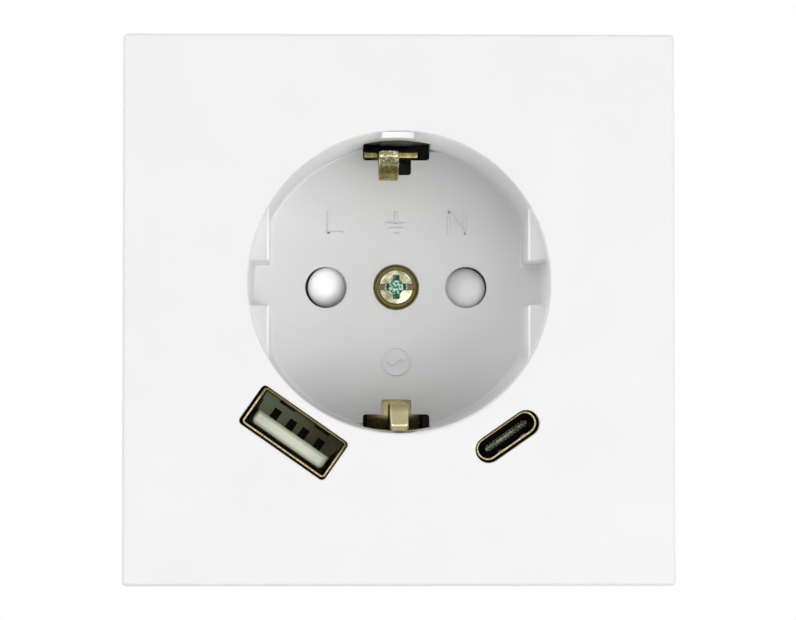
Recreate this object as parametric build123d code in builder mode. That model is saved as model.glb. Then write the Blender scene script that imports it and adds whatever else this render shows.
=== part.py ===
"""Flush wall socket with side earth contacts, a shuttered plug well and two charging ports.

The frame has +Z up, +X to the right and the front towards -Y. The wall plane, which the back of the
support ring lies on, is Y = 0, and the origin is the middle of the wall box. Depths below are
measured backwards from the front face of the cover.
"""

from build123d import *
import os
from math import cos, radians, sin, tan

os.makedirs("parts", exist_ok=True)

# Cover plate
plate_side = 72.0
plate_thickness = 2.2
plate_corner_round = 0.6
plate_edge_round = 0.5
skirt_wall = 1.6
wall_proud = 11.0
cover_gap = 0.3
rib_thickness = 1.0
rib_height = 3.5

# Plug well
well_radius = 19.75
well_draft = 1.8
well_depth = 17.5
well_wall = 1.0
well_rise = 3.6
floor_thickness = 1.8
floor_round = 0.3
rim_round = 0.3
lug_height = 2.2
lug_recess = 3.0
lug_groove = 5.8
lug_round = 0.3
pin_spacing = 19.0
pin_hole = 5.6
pin_hole_round = 0.3

# Openings for the earth fingers: set-backs run inwards from the edge of the floor, heights up from it
bar_width = 9.0
bar_setback = 2.0
stem_width = 4.05
stem_setback = 4.0
slot_round = 0.4
slot_height = 6.3
pocket_width = 4.3
pocket_height = 9.6
pocket_front = 1.0
pocket_cut = 0.4
pocket_ramp = 0.7

# Cover screw and its nut
screw_head = 5.9
screw_dome = 4.5
screw_dome_rise = 0.45
screw_head_height = 2.0
screw_land = 0.9
screw_seat = 0.8
screw_shank = 3.0
screw_slot = 0.75
screw_slot_depth = 0.9
screw_cross = 3.5
screw_cross_depth = 1.5
screw_cross_taper = 8
screw_length = 12.0
nut_side = 5.5
nut_height = 2.2
thread_gap = 0.05

# Support ring
ring_inset = 0.8
ring_corner = 4.0
ring_thickness = 1.2
ring_gap = 0.2
box_screw_spacing = 60.0
box_screw_hole = 3.8

# Base moulding
fit_gap = 0.3
flange_thickness = 1.6
flange_margin = 1.7
peg = 2.2
peg_gap = 0.1
peg_offset = 1.9
sleeve_wall = 1.1
shield_step = 0.2
shield_crown = 0.15
deck_thickness = 2.0
pillar_radius = 3.1
head_room = 4.4
block_margin = 9.5
block_wall = 1.2
board_post = 3.2
spring_post = 1.6
spring_post_x = 2.9
spring_post_z = 8.6

# Shutter
rotor_thickness = 2.9
rotor_play = 0.2
rotor_shift = 0.3
vane_radius = 3.2
dome_radius = 5.2
dome_offset = 0.9
hub_radius = 5.6
hub_step = 1.1
hub_gap = 0.1
spring_wire = 0.5
spring_gap = 0.1
spring_leg = 5.6
spring_rise = 1.0
spring_knee_x = -3.0
spring_bend = 1.8

# Earth bracket
brass_sheet = 0.95
bracket_width = 7.4
bracket_shift_x = -0.5
bracket_shift_z = -0.9
ear_setback = 0.35
ear_shift = 0.2
fold_radius = 2.9
finger_width = 2.65
low_finger_width = 2.35
finger_offset = 0.49
finger_bend = 1.5
nose_setback = 4.65
nose_height = 6.0
tip_setback = 1.0
tip_height = 11.2

# Pin contacts
contact_sheet = 0.8
pin_diameter = 4.8
contact_length = 10.0
contact_flare = 0.5
contact_pinch = 0.2
contact_bend = 0.9

# Push-in terminals
pole_spacing = 12.6
bar_level = 17.0
terminal_bar = 8.8
terminal_margin = 1.0
clamp_sheet = 0.5
clamp_width = 8.4
clamp_margin = 1.5
clamp_setback = 1.2
clamp_heel = 2.6
clamp_tip = 4.0
clamp_gap = 0.2
clamp_bend = 1.0
wire_hole = 3.4
wire_pitch = 5.2
wire_gap = 0.2
button_width = 4.4
button_proud = 0.6
button_gap = 0.2
button_margin = 0.5
button_reach = 5.6
button_slope = 1.0
button_collar = 0.7
collar_thickness = 1.6
button_slot = 1.0
button_slot_depth = 0.8
button_slot_margin = 0.6
lead_wire = 1.0
lead_room = 3.5

# Rear housing
housing_radius = 27.4
flat_room = 1.7
housing_wall = 1.5
charger_room = 2.1
post_offset = 0.8
post_wall = 1.5
housing_screw = 2.2
housing_screw_grip = 9.0
housing_screw_gap = 0.2
housing_screw_head = 4.4
housing_head_height = 1.5
housing_head_round = 0.6
housing_cross = 2.4
housing_cross_width = 0.6
housing_cross_depth = 0.9
bore_spare = 1.0

# Charging ports
port_angle = 35.0
port_recess = 1.0
port_length = 15.0
port_gap = 0.25
port_edge_round = 0.2
shell_sheet = 0.3
shell_edge = 0.12
insulator_gap = 0.1
usb_a_offset = 4.25
usb_a_shell_size = (13.1, 5.7)
usb_a_corner = 0.6
usb_a_gap_high = 0.16
usb_a_lift = 0.1
usb_a_shift = 0.1
usb_c_offset = 4.85
usb_c_shell_size = (8.94, 3.06)
usb_c_gap_high = 0.21
usb_c_lift = 0.15
usb_c_shift = -0.05
board_thickness = 1.6
board_standoff = 1.8

# Lengths and places that follow from the sizes above, depths first
ring_front = wall_proud - ring_thickness
skirt_depth = ring_front - cover_gap
flange_front = ring_front - flange_thickness
floor_rear = well_depth + floor_thickness
rotor_front = floor_rear + rotor_play
rotor_rear = rotor_front + rotor_thickness
deck_front = rotor_rear + rotor_play
channel_rear = deck_front + brass_sheet
deck_rear = deck_front + deck_thickness
contact_front = deck_rear + 2 * rotor_play
contact_rear = contact_front + contact_length
housing_inner = contact_rear + lead_room
housing_depth = housing_inner + housing_wall
block_rear = housing_inner - fit_gap
terminal_rear = block_rear - terminal_margin
port_board_front = port_recess + port_length
port_board_rear = port_board_front + board_thickness
power_board_front = deck_rear + board_standoff
power_board_rear = power_board_front + board_thickness
wall_slot_depth = well_depth - slot_height
ear_front = well_depth + fit_gap
lane_front = ear_front - 3 * finger_bend
pin_x = pin_spacing / 2
floor_radius = well_radius - well_depth * tan(radians(well_draft))
bar_inner_radius = floor_radius - bar_setback
stem_inner_radius = floor_radius - stem_setback
ear_radius = floor_radius - ear_setback
lug_span = 2 * (floor_radius - lug_height)
sleeve_bore = well_radius + well_wall + fit_gap
sleeve_radius = sleeve_bore + sleeve_wall
shield_radius = floor_radius + shield_step
ring_side = plate_side - 2 * ring_inset
peg_radius = housing_radius + peg_offset
flange_radius = peg_radius + flange_margin
block_width = pin_spacing + 2 * block_margin
block_reach = pin_diameter - contact_sheet / 2
block_low = well_rise - block_reach - block_wall
block_high = well_rise + block_reach + block_wall
bracket_x = bracket_shift_x
bracket_z = well_rise + bracket_shift_z
earth_x = bracket_x - ear_shift
earth_bar = bracket_z + ear_radius - brass_sheet / 2
usb_a_opening = (usb_a_shell_size[0] + 2 * port_gap, usb_a_shell_size[1] + 2 * usb_a_gap_high)
usb_c_opening = (usb_c_shell_size[0] + 2 * port_gap, usb_c_shell_size[1] + 2 * usb_c_gap_high)

# Ports lie on rays from the middle of the well, each shell a little off the middle of its window
usb_a_reach = well_radius + usb_a_offset
usb_c_reach = well_radius + usb_c_offset
port_board_top = (well_rise - usb_a_reach * cos(radians(port_angle))) / 2

# Places of the two pin holes and of the two housing screws, seen from the front
pin_places = ((-pin_x, 0), (pin_x, 0))
post_radius = housing_screw / 2 + post_wall
housing_screw_x = block_width / 2 + post_offset
housing_flat = housing_screw_x + post_radius + flat_room + housing_wall
housing_screw_places = ((-housing_screw_x, well_rise), (housing_screw_x, well_rise))
box_screw_places = ((-box_screw_spacing / 2, 0), (box_screw_spacing / 2, 0))


def front_plane(depth, x=0, z=0, turn=0):
    """Plane parallel to the cover at a depth behind its face, facing the front."""
    x_axis = (cos(radians(turn)), 0, sin(radians(turn)))
    return Plane(origin=(x, depth - wall_proud, z), x_dir=x_axis, z_dir=(0, -1, 0))


def side_plane(x, z=0, turn=0):
    """Plane across the cover: its x runs backwards from the front face, its y upwards."""
    across = (cos(radians(turn)), 0, sin(radians(turn)))
    return Plane(origin=(x, -wall_proud, z), x_dir=(0, 1, 0), z_dir=across)


def depth_axis(x=0, z=0):
    """Axis through a point of the cover, running backwards."""
    return Axis((x, 0, z), (0, 1, 0))


def finish(builder, name):
    """Label a finished piece and write it."""
    builder.part.label = name
    export_step(builder.part, f"parts/{name}.step")


def housing_outline(offset):
    """Draw the round outline of the housing with its two flats, moved outwards by an offset."""
    Circle(housing_radius + offset)
    Rectangle(2 * (housing_flat + offset), plate_side, mode=Mode.INTERSECT)


def port_place(side, reach, along):
    """Point at a reach on the left or right port ray, moved along the port."""
    across = sin(radians(port_angle))
    down = cos(radians(port_angle))
    return side * reach * across + along * down, well_rise - reach * down + side * along * across


def usb_a_window(depth):
    """Front plane of the USB-A window."""
    return front_plane(depth, *port_place(-1, usb_a_reach, 0), -port_angle)


def usb_c_window(depth):
    """Front plane of the USB-C window."""
    return front_plane(depth, *port_place(1, usb_c_reach, 0), port_angle)


def usb_a_plane(depth, turn=0):
    """Front plane of the USB-A receptacle."""
    return front_plane(depth, *port_place(-1, usb_a_reach - usb_a_lift, usb_a_shift), turn - port_angle)


def usb_c_plane(depth):
    """Front plane of the USB-C receptacle."""
    return front_plane(depth, *port_place(1, usb_c_reach - usb_c_lift, usb_c_shift), port_angle)


# Cover plate with the plug well moulded in one piece
lug_level = lug_recess - wall_proud
with BuildPart() as cover_plate:
    with BuildSketch(front_plane(skirt_depth)):
        RectangleRounded(plate_side, plate_side, plate_corner_round)
    extrude(amount=skirt_depth)
    front_rim = cover_plate.faces().sort_by(Axis.Y)[0].edges()
    fillet(front_rim, plate_edge_round)
    with BuildSketch(front_plane(skirt_depth)):
        Rectangle(plate_side - 2 * skirt_wall, plate_side - 2 * skirt_wall)
    extrude(amount=skirt_depth - plate_thickness, mode=Mode.SUBTRACT)
    with BuildSketch(front_plane(plate_thickness + rib_height)):
        with Locations((0, well_rise)):
            Rectangle(plate_side - skirt_wall, rib_thickness)
        Rectangle(rib_thickness, plate_side - skirt_wall)
    extrude(amount=rib_height)
    with BuildSketch(front_plane(floor_rear, 0, well_rise)):
        Circle(well_radius + well_wall)
    extrude(amount=floor_rear - plate_thickness)
    with BuildSketch(front_plane(well_depth, 0, well_rise)):
        Circle(floor_radius)
    extrude(amount=well_depth, taper=-well_draft, mode=Mode.SUBTRACT)
    # Four lugs that leave a groove on each side
    with BuildSketch(front_plane(well_depth, 0, well_rise)):
        Circle(well_radius + well_wall / 2)
        Rectangle(lug_span, 3 * well_radius, mode=Mode.SUBTRACT)
        Rectangle(3 * well_radius, lug_groove, mode=Mode.SUBTRACT)
    extrude(amount=well_depth - lug_recess)
    lug_corners = cover_plate.edges().filter_by(Axis.Y)
    lug_corners = lug_corners.filter_by(lambda e: abs(abs(e.center().X) - lug_span / 2) < 0.01)
    lug_corners = lug_corners.filter_by(
        lambda e: abs(abs(e.center().Z - well_rise) - lug_groove / 2) < 0.01
    )
    fillet(lug_corners, lug_round)
    lug_rims = cover_plate.edges().filter_by(
        lambda e: e.bounding_box().min.Y > lug_level - 0.01
        and e.bounding_box().max.Y < lug_level + 0.01
        and abs(e.center().X) < well_radius
        and (e.geom_type == GeomType.LINE or e.length < 2 * lug_round)
    )
    fillet(lug_rims, lug_round)
    mouth = cover_plate.edges().filter_by(GeomType.CIRCLE).filter_by(
        lambda e: abs(e.radius - well_radius) < 0.01 and e.center().Y < lug_level
    )
    fillet(mouth.sort_by(Axis.Y)[0], rim_round)
    floor_level = well_depth - wall_proud
    floor_face = cover_plate.faces().filter_by(Axis.Y).filter_by(
        lambda f: abs(f.center().Y - floor_level) < 0.01
    )
    fillet(floor_face.sort_by(SortBy.AREA)[-1].outer_wire().edges(), floor_round)
    # Pin holes and the seat of the screw
    with BuildSketch(front_plane(floor_rear, 0, well_rise)):
        with Locations(*pin_places):
            Circle(pin_hole / 2)
        Circle(screw_shank / 2 + fit_gap)
    extrude(amount=floor_thickness, mode=Mode.SUBTRACT)
    with BuildSketch(front_plane(well_depth + screw_seat, 0, well_rise)):
        Circle(screw_head / 2 + fit_gap / 2)
    extrude(amount=screw_seat, mode=Mode.SUBTRACT)
    entries = cover_plate.edges().filter_by(GeomType.CIRCLE).filter_by(
        lambda e: abs(e.radius - pin_hole / 2) < 0.01
    )
    fillet(entries.group_by(Axis.Y)[0], pin_hole_round)
    # T-shaped openings and wall pockets of the earth fingers
    bar_height = well_radius + 2 * well_wall - bar_inner_radius
    pocket_rear = well_depth - pocket_height
    pocket_radius = well_radius + pocket_cut
    for half in (1, -1):
        with BuildSketch(front_plane(floor_rear, 0, well_rise)):
            with Locations((0, half * (bar_inner_radius + bar_height / 2))):
                RectangleRounded(bar_width, bar_height, slot_round)
        extrude(amount=floor_rear - wall_slot_depth, mode=Mode.SUBTRACT)
        with BuildSketch(front_plane(floor_rear, 0, well_rise)):
            with Locations((0, half * (stem_inner_radius + bar_height / 2))):
                RectangleRounded(stem_width, bar_height, slot_round)
        extrude(amount=floor_thickness, mode=Mode.SUBTRACT)
        with BuildSketch(side_plane(-pocket_width / 2, well_rise)):
            with BuildLine():
                Polyline(
                    (pocket_front, half * bar_inner_radius),
                    (pocket_front, half * pocket_radius),
                    (pocket_rear - pocket_ramp, half * pocket_radius),
                    (pocket_rear, half * floor_radius),
                    (pocket_rear, half * bar_inner_radius),
                    close=True,
                )
            make_face()
        extrude(amount=pocket_width, mode=Mode.SUBTRACT)
    # Windows of the charging ports, with softened edges
    with BuildSketch(usb_a_window(plate_thickness)):
        RectangleRounded(*usb_a_opening, usb_a_corner)
    with BuildSketch(usb_c_window(plate_thickness)):
        SlotOverall(*usb_c_opening)
    extrude(amount=plate_thickness, mode=Mode.SUBTRACT)
    windows = cover_plate.faces().sort_by(Axis.Y)[0].inner_wires()
    windows = windows.filter_by(lambda w: w.bounding_box().size.X < well_radius)
    fillet(windows.edges(), port_edge_round)
finish(cover_plate, "cover_plate")

# Raised-head cover screw with a slot and a cross
screw_seat_depth = well_depth + screw_seat
screw_rear = screw_seat_depth + screw_length
head_top = screw_seat_depth - screw_head_height
with BuildPart() as cover_screw:
    with BuildSketch(side_plane(0, well_rise)):
        with BuildLine():
            dome = TangentArc(
                (head_top, 0),
                (head_top + screw_dome_rise, screw_dome / 2),
                tangent=(0, 1),
            )
            Polyline(
                dome @ 1,
                (screw_seat_depth - screw_land, screw_head / 2),
                (screw_seat_depth, screw_head / 2),
                (screw_seat_depth, screw_shank / 2),
                (screw_rear, screw_shank / 2),
                (screw_rear, 0),
                dome @ 0,
            )
        make_face()
    revolve(axis=depth_axis(0, well_rise))
    with BuildSketch(front_plane(head_top + screw_slot_depth, 0, well_rise)):
        Rectangle(screw_head, screw_slot)
    extrude(amount=screw_slot_depth, mode=Mode.SUBTRACT)
    with BuildSketch(front_plane(head_top, 0, well_rise)):
        Rectangle(screw_slot, screw_cross)
        Rectangle(screw_cross, screw_slot)
        Rectangle(1.5 * screw_slot, 1.5 * screw_slot, rotation=45)
    extrude(amount=-screw_cross_depth, taper=screw_cross_taper, mode=Mode.SUBTRACT)
finish(cover_screw, "cover_screw")

# Square nut behind the deck
nut_front = deck_rear + rotor_thickness / 2
nut_rear = nut_front + nut_height
with BuildPart() as cover_nut:
    with BuildSketch(front_plane(nut_rear, 0, well_rise)):
        Rectangle(nut_side, nut_side)
        Circle(screw_shank / 2 + thread_gap, mode=Mode.SUBTRACT)
    extrude(amount=nut_height)
finish(cover_nut, "cover_nut")

# Steel ring that is screwed to the wall box; the housing passes through its opening
with BuildPart() as support_ring:
    with BuildSketch(front_plane(wall_proud)):
        RectangleRounded(ring_side, ring_side, ring_corner)
        with Locations(*box_screw_places):
            Circle(box_screw_hole / 2, mode=Mode.SUBTRACT)
        with PolarLocations(peg_radius, 4, start_angle=45):
            Circle(peg / 2 + peg_gap, mode=Mode.SUBTRACT)
    extrude(amount=ring_thickness)
    with BuildSketch(front_plane(wall_proud)):
        housing_outline(ring_gap)
    extrude(amount=ring_thickness, mode=Mode.SUBTRACT)
finish(support_ring, "support_ring")

# Base moulding: flange with pegs, sleeve round the well, deck, pillar, contact block and shields
post_rear = housing_inner
leaf_drop = bar_level - block_high - clamp_sheet / 2 - fit_gap / 2
earth_shelf = earth_bar - leaf_drop - clamp_sheet / 2 - fit_gap / 2
finger_lane = bracket_width + 2 * fit_gap
lane_sheet = brass_sheet + 2 * fit_gap
shield_rear = sleeve_bore + sleeve_wall / 2
with BuildPart() as socket_base:
    with BuildSketch(front_plane(ring_front)):
        Circle(flange_radius)
        with Locations(*box_screw_places):
            Circle(head_room, mode=Mode.SUBTRACT)
    extrude(amount=flange_thickness)
    with BuildSketch(front_plane(wall_proud - peg_gap)):
        with PolarLocations(peg_radius, 4, start_angle=45):
            Circle(peg / 2)
    extrude(amount=ring_thickness - peg_gap)
    with BuildSketch(front_plane(deck_rear, 0, well_rise)):
        Circle(sleeve_radius)
    extrude(amount=deck_rear - flange_front)
    with BuildSketch(front_plane(deck_front, 0, well_rise)):
        Circle(sleeve_bore)
    extrude(amount=deck_front - flange_front, mode=Mode.SUBTRACT)
    # Room for the port board and the two receptacles
    with BuildSketch(front_plane(port_board_rear)):
        with Locations((0, port_board_top - plate_side / 2)):
            Rectangle(plate_side, plate_side)
        with PolarLocations(peg_radius, 4, start_angle=45):
            Circle(peg / 2 + peg_gap, mode=Mode.SUBTRACT)
    extrude(amount=port_board_rear - ring_front, mode=Mode.SUBTRACT)
    with BuildSketch(usb_a_plane(ring_front)):
        Rectangle(usb_a_shell_size[0] + 2 * fit_gap, usb_a_shell_size[1] + 2 * fit_gap)
    with BuildSketch(usb_c_plane(ring_front)):
        Rectangle(usb_c_shell_size[0] + 2 * fit_gap, usb_c_shell_size[1] + 2 * fit_gap)
    extrude(amount=flange_thickness, mode=Mode.SUBTRACT)
    # Shields that stand in the slots of the well wall
    for half in (1, -1):
        with BuildSketch(front_plane(deck_rear, 0, well_rise)):
            with Locations((0, half * (shield_radius + shield_rear) / 2)):
                Rectangle(bar_width - 2 * fit_gap, shield_rear - shield_radius)
            with Locations((0, half * (shield_radius + shield_rear) / 2)):
                Rectangle(pocket_width, shield_rear - shield_radius + 2 * shield_crown)
        extrude(amount=deck_rear - wall_slot_depth - fit_gap / 2)
    # Contact block and terminal walls behind the deck
    with BuildSketch(front_plane(block_rear)):
        with Locations((0, (block_low + block_high) / 2)):
            Rectangle(block_width, block_high - block_low)
        for side in (-1, 1):
            with Locations((side * pole_spacing / 2, (block_high + bar_level) / 2)):
                Rectangle(block_wall, bar_level - block_high + 2 * contact_sheet)
        with Locations((0, earth_shelf - block_wall / 2)):
            Rectangle(pole_spacing, block_wall)
    extrude(amount=block_rear - deck_rear)
    with BuildSketch(front_plane(block_rear)):
        for side in (-1, 1):
            with Locations((side * pin_x, (block_low + block_high) / 2)):
                Rectangle(2 * pin_diameter, block_high - block_low - 2 * block_wall)
            with Locations((side * pin_x, block_high)):
                Rectangle(pin_diameter + 2 * fit_gap, 3 * block_wall)
    extrude(amount=block_rear - deck_rear, mode=Mode.SUBTRACT)
    # Notches for the charger leads
    with BuildSketch(front_plane(block_rear)):
        for side in (-1, 1):
            with Locations((side * (pin_x + pin_diameter / 2 + contact_sheet), block_low)):
                Rectangle(2 * lead_wire, 3 * block_wall)
    extrude(amount=4 * lead_wire, mode=Mode.SUBTRACT)
    # Screw posts, and short posts for the power board
    with BuildSketch(front_plane(post_rear)):
        with Locations(*housing_screw_places):
            Circle(post_radius)
    extrude(amount=post_rear - deck_rear)
    with BuildSketch(front_plane(power_board_front)):
        with Locations((-pin_x, port_board_top), (pin_x, port_board_top)):
            Circle(board_post / 2)
    extrude(amount=power_board_front - deck_rear)
    # Lane for the earth bracket in the front of the deck
    with BuildSketch(front_plane(channel_rear, bracket_x, bracket_z)):
        with Locations((ear_shift, -ear_radius / 2)):
            Rectangle(finger_lane, ear_radius + 2 * brass_sheet)
        with Locations((-finger_lane / 4 - ear_shift, ear_radius / 2)):
            Rectangle(finger_lane / 2 + 2 * fit_gap, ear_radius + 2 * brass_sheet)
        Circle(2 * pillar_radius + fit_gap)
        with Locations((-ear_shift, ear_radius), (ear_shift, -ear_radius)):
            Rectangle(finger_lane, 2 * (brass_sheet + fit_gap))
    extrude(amount=brass_sheet, mode=Mode.SUBTRACT)
    for half, lane_rear in ((1, block_rear), (-1, channel_rear)):
        with BuildSketch(front_plane(lane_rear, bracket_x, bracket_z)):
            with Locations((-half * ear_shift, half * ear_radius)):
                Rectangle(finger_lane, lane_sheet)
        extrude(amount=lane_rear - lane_front, mode=Mode.SUBTRACT)
    # Pillar for the shutter, post for its spring, pocket of the nut, passages for pins and screws
    with BuildSketch(front_plane(deck_rear, 0, well_rise)):
        Circle(pillar_radius)
        with Locations((spring_post_x, spring_post_z)):
            Circle(spring_post / 2)
    extrude(amount=deck_rear - floor_rear - rotor_play / 2)
    with BuildSketch(front_plane(nut_rear, 0, well_rise)):
        Rectangle(nut_side + 2 * block_wall, nut_side + 2 * block_wall)
    extrude(amount=nut_rear - deck_rear)
    with BuildSketch(front_plane(nut_rear, 0, well_rise)):
        Rectangle(nut_side + 2 * thread_gap, nut_side + 2 * thread_gap)
    extrude(amount=nut_height, mode=Mode.SUBTRACT)
    with BuildSketch(front_plane(block_rear, 0, well_rise)):
        Circle(screw_shank / 2 + fit_gap / 2)
        with Locations(*pin_places):
            Circle(pin_hole / 2 + fit_gap)
    extrude(amount=block_rear, mode=Mode.SUBTRACT)
    with BuildSketch(front_plane(post_rear)):
        with Locations(*housing_screw_places):
            Circle(housing_screw / 2 + thread_gap)
    extrude(amount=housing_screw_grip + bore_spare, mode=Mode.SUBTRACT)
finish(socket_base, "socket_base")

# Turning shutter with two domed vanes, left dome up and out, right dome down and out
rotor_x = rotor_shift
dome_x = pin_x + dome_offset
dome_y = rotor_front + dome_radius - wall_proud
with BuildPart() as shutter_rotor:
    for side in (-1, 1):
        with Locations((rotor_x + side * dome_x, dome_y, well_rise - side * dome_offset)):
            Sphere(dome_radius)
    with BuildSketch(front_plane(rotor_rear, rotor_x, well_rise)):
        with Locations(*pin_places):
            Circle(vane_radius)
        Rectangle(pin_spacing, vane_radius)
    extrude(amount=rotor_thickness, mode=Mode.INTERSECT)
    with BuildSketch(front_plane(rotor_rear, rotor_x, well_rise)):
        Circle(hub_radius)
        Rectangle(pin_spacing - vane_radius, vane_radius)
    extrude(amount=rotor_thickness - hub_step)
    with BuildSketch(front_plane(rotor_rear, rotor_x, well_rise)):
        Circle(pillar_radius + rotor_shift + hub_gap)
    extrude(amount=rotor_thickness, mode=Mode.SUBTRACT)
finish(shutter_rotor, "shutter_rotor")

# Hairpin spring between the left vane and the post on the deck
spring_level = rotor_rear - rotor_thickness / 2
spring_foot = vane_radius + spring_wire / 2 + spring_gap
spring_top = vane_radius + spring_leg
spring_end_x = spring_post_x - spring_post / 2 - spring_wire / 2 - spring_gap
with BuildPart() as shutter_spring:
    with BuildLine(front_plane(spring_level, 0, well_rise)) as spring_path:
        FilletPolyline(
            (rotor_x - pin_x + 2 * spring_gap, spring_foot),
            (rotor_x - pin_x, spring_top),
            (spring_knee_x, spring_top + spring_rise),
            (spring_end_x, spring_post_z),
            radius=spring_bend,
        )
    with BuildSketch(Plane(origin=spring_path.line @ 0, z_dir=spring_path.line % 0)):
        Circle(spring_wire / 2)
    sweep(path=spring_path.line)
finish(shutter_spring, "shutter_spring")

# Folded earth bracket with two fingers and the bar of the earth terminal
nose_depth = well_depth - nose_height
tip_depth = well_depth - tip_height
nose_radius = floor_radius - nose_setback + brass_sheet / 2
tip_radius = floor_radius - tip_setback
fold_depth = channel_rear - brass_sheet / 2
fold_start = ear_radius - 2 * fold_radius
with BuildPart() as earth_bracket:
    for half, width in ((1, finger_width), (-1, low_finger_width)):
        finger_x = bracket_x - half * (ear_shift + finger_offset)
        with BuildSketch(side_plane(finger_x - width / 2, bracket_z)):
            with BuildLine():
                FilletPolyline(
                    (ear_front + brass_sheet, half * ear_radius),
                    (ear_front - finger_bend, half * ear_radius),
                    (nose_depth, half * nose_radius),
                    (tip_depth, half * tip_radius),
                    radius=finger_bend,
                )
            trace(line_width=brass_sheet)
        extrude(amount=width)
    tips = earth_bracket.edges().filter_by(Axis.X, reverse=True).filter_by(
        lambda e: e.center().Y < tip_depth - wall_proud + brass_sheet and e.length < 1.2 * brass_sheet
    )
    fillet(tips, brass_sheet / 2)
    # Ears behind the fingers: the upper one runs back to the terminal, the lower one folds into the strap
    with BuildSketch(front_plane(terminal_rear, earth_x, bracket_z)):
        with Locations((0, ear_radius)):
            Rectangle(bracket_width, brass_sheet)
    extrude(amount=terminal_rear - ear_front)
    with BuildSketch(side_plane(bracket_x + ear_shift - bracket_width / 2, bracket_z)):
        with BuildLine():
            FilletPolyline(
                (ear_front, -ear_radius),
                (fold_depth, -ear_radius),
                (fold_depth, -fold_start),
                radius=fold_radius,
            )
        trace(line_width=brass_sheet)
    extrude(amount=bracket_width)
    with BuildSketch(front_plane(channel_rear, bracket_x, bracket_z)):
        with Locations((ear_shift, -fold_start / 2)):
            Rectangle(bracket_width, fold_start)
        with Locations((-bracket_width / 4 - ear_shift, ear_radius / 2)):
            Rectangle(bracket_width / 2, ear_radius)
        Circle(2 * pillar_radius)
        with Locations((-bracket_x, -bracket_shift_z)):
            Circle(pillar_radius + fit_gap, mode=Mode.SUBTRACT)
    extrude(amount=brass_sheet)
finish(earth_bracket, "earth_bracket")

# Line and neutral contacts: a spring sleeve for the pin, a strap and the terminal bar
leaf_x = pin_diameter / 2 + contact_sheet / 2
leaf_top = pin_diameter - 1.5 * contact_sheet
leaf_low = contact_sheet - pin_diameter
strap_low = well_rise + leaf_top
for side, name in ((-1, "line_contact"), (1, "neutral_contact")):
    with BuildPart() as contact:
        with BuildSketch(front_plane(contact_rear, side * pin_x, well_rise)):
            with BuildLine():
                FilletPolyline(
                    (-leaf_x - contact_flare, leaf_low),
                    (-leaf_x + contact_pinch, 0),
                    (-leaf_x - contact_flare, leaf_top),
                    (leaf_x + contact_flare, leaf_top),
                    (leaf_x - contact_pinch, 0),
                    (leaf_x + contact_flare, leaf_low),
                    radius=contact_bend,
                )
            trace(line_width=contact_sheet)
        extrude(amount=contact_length)
        with BuildSketch(front_plane(contact_front + contact_sheet)):
            with Locations((side * pin_x, (strap_low + bar_level) / 2)):
                Rectangle(pin_diameter, bar_level - strap_low)
        extrude(amount=contact_sheet)
        with BuildSketch(front_plane(terminal_rear)):
            with Locations((side * pole_spacing, bar_level + contact_sheet / 2)):
                Rectangle(terminal_bar, contact_sheet)
        extrude(amount=terminal_rear - contact_front)
    finish(contact, name)

# Leaf springs and release buttons of the three push-in terminals
poles = (
    ("line", -pole_spacing, bar_level),
    ("neutral", pole_spacing, bar_level),
    ("earth", earth_x, earth_bar),
)
button_drop = wire_hole + button_margin
button_height = leaf_drop - clamp_sheet / 2 - fit_gap - button_drop
button_front = deck_rear + button_reach
button_rear = housing_depth + button_proud
clamp_front = contact_front + clamp_setback
for name, pole_x, level in poles:
    with BuildPart() as clamp:
        with BuildSketch(side_plane(pole_x - clamp_width / 2, level)):
            with BuildLine():
                FilletPolyline(
                    (block_rear - clamp_margin, -leaf_drop),
                    (clamp_front, -leaf_drop),
                    (clamp_front, clamp_heel - leaf_drop),
                    (block_rear - clamp_tip, -clamp_sheet / 2 - clamp_gap),
                    radius=clamp_bend,
                )
            trace(line_width=clamp_sheet)
        extrude(amount=clamp_width)
    finish(clamp, f"{name}_clamp")
    button_z = level - button_drop - button_height / 2
    with BuildPart() as release:
        with BuildSketch(side_plane(pole_x - button_width / 2, level - button_drop)):
            with BuildLine():
                Polyline(
                    (button_rear, 0),
                    (button_front, 0),
                    (button_front + button_slope, -button_height),
                    (button_rear, -button_height),
                    close=True,
                )
            make_face()
        extrude(amount=button_width)
        with BuildSketch(front_plane(housing_inner - fit_gap, pole_x, button_z)):
            Rectangle(button_width + 2 * button_collar, button_height)
        extrude(amount=collar_thickness)
        with BuildSketch(front_plane(button_rear, pole_x, button_z)):
            Rectangle(button_width - 2 * button_slot_margin, button_slot)
        extrude(amount=button_slot_depth, mode=Mode.SUBTRACT)
    finish(release, f"{name}_release")

# Charger sizes that set the depth of the housing
core_width = 16.0
core_leg = 4.0
core_height = 12.0
core_z = -13.0
core_rear = power_board_rear + core_height
charger_inner = core_rear + charger_room
charger_depth = charger_inner + housing_wall
charger_top = block_low

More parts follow.
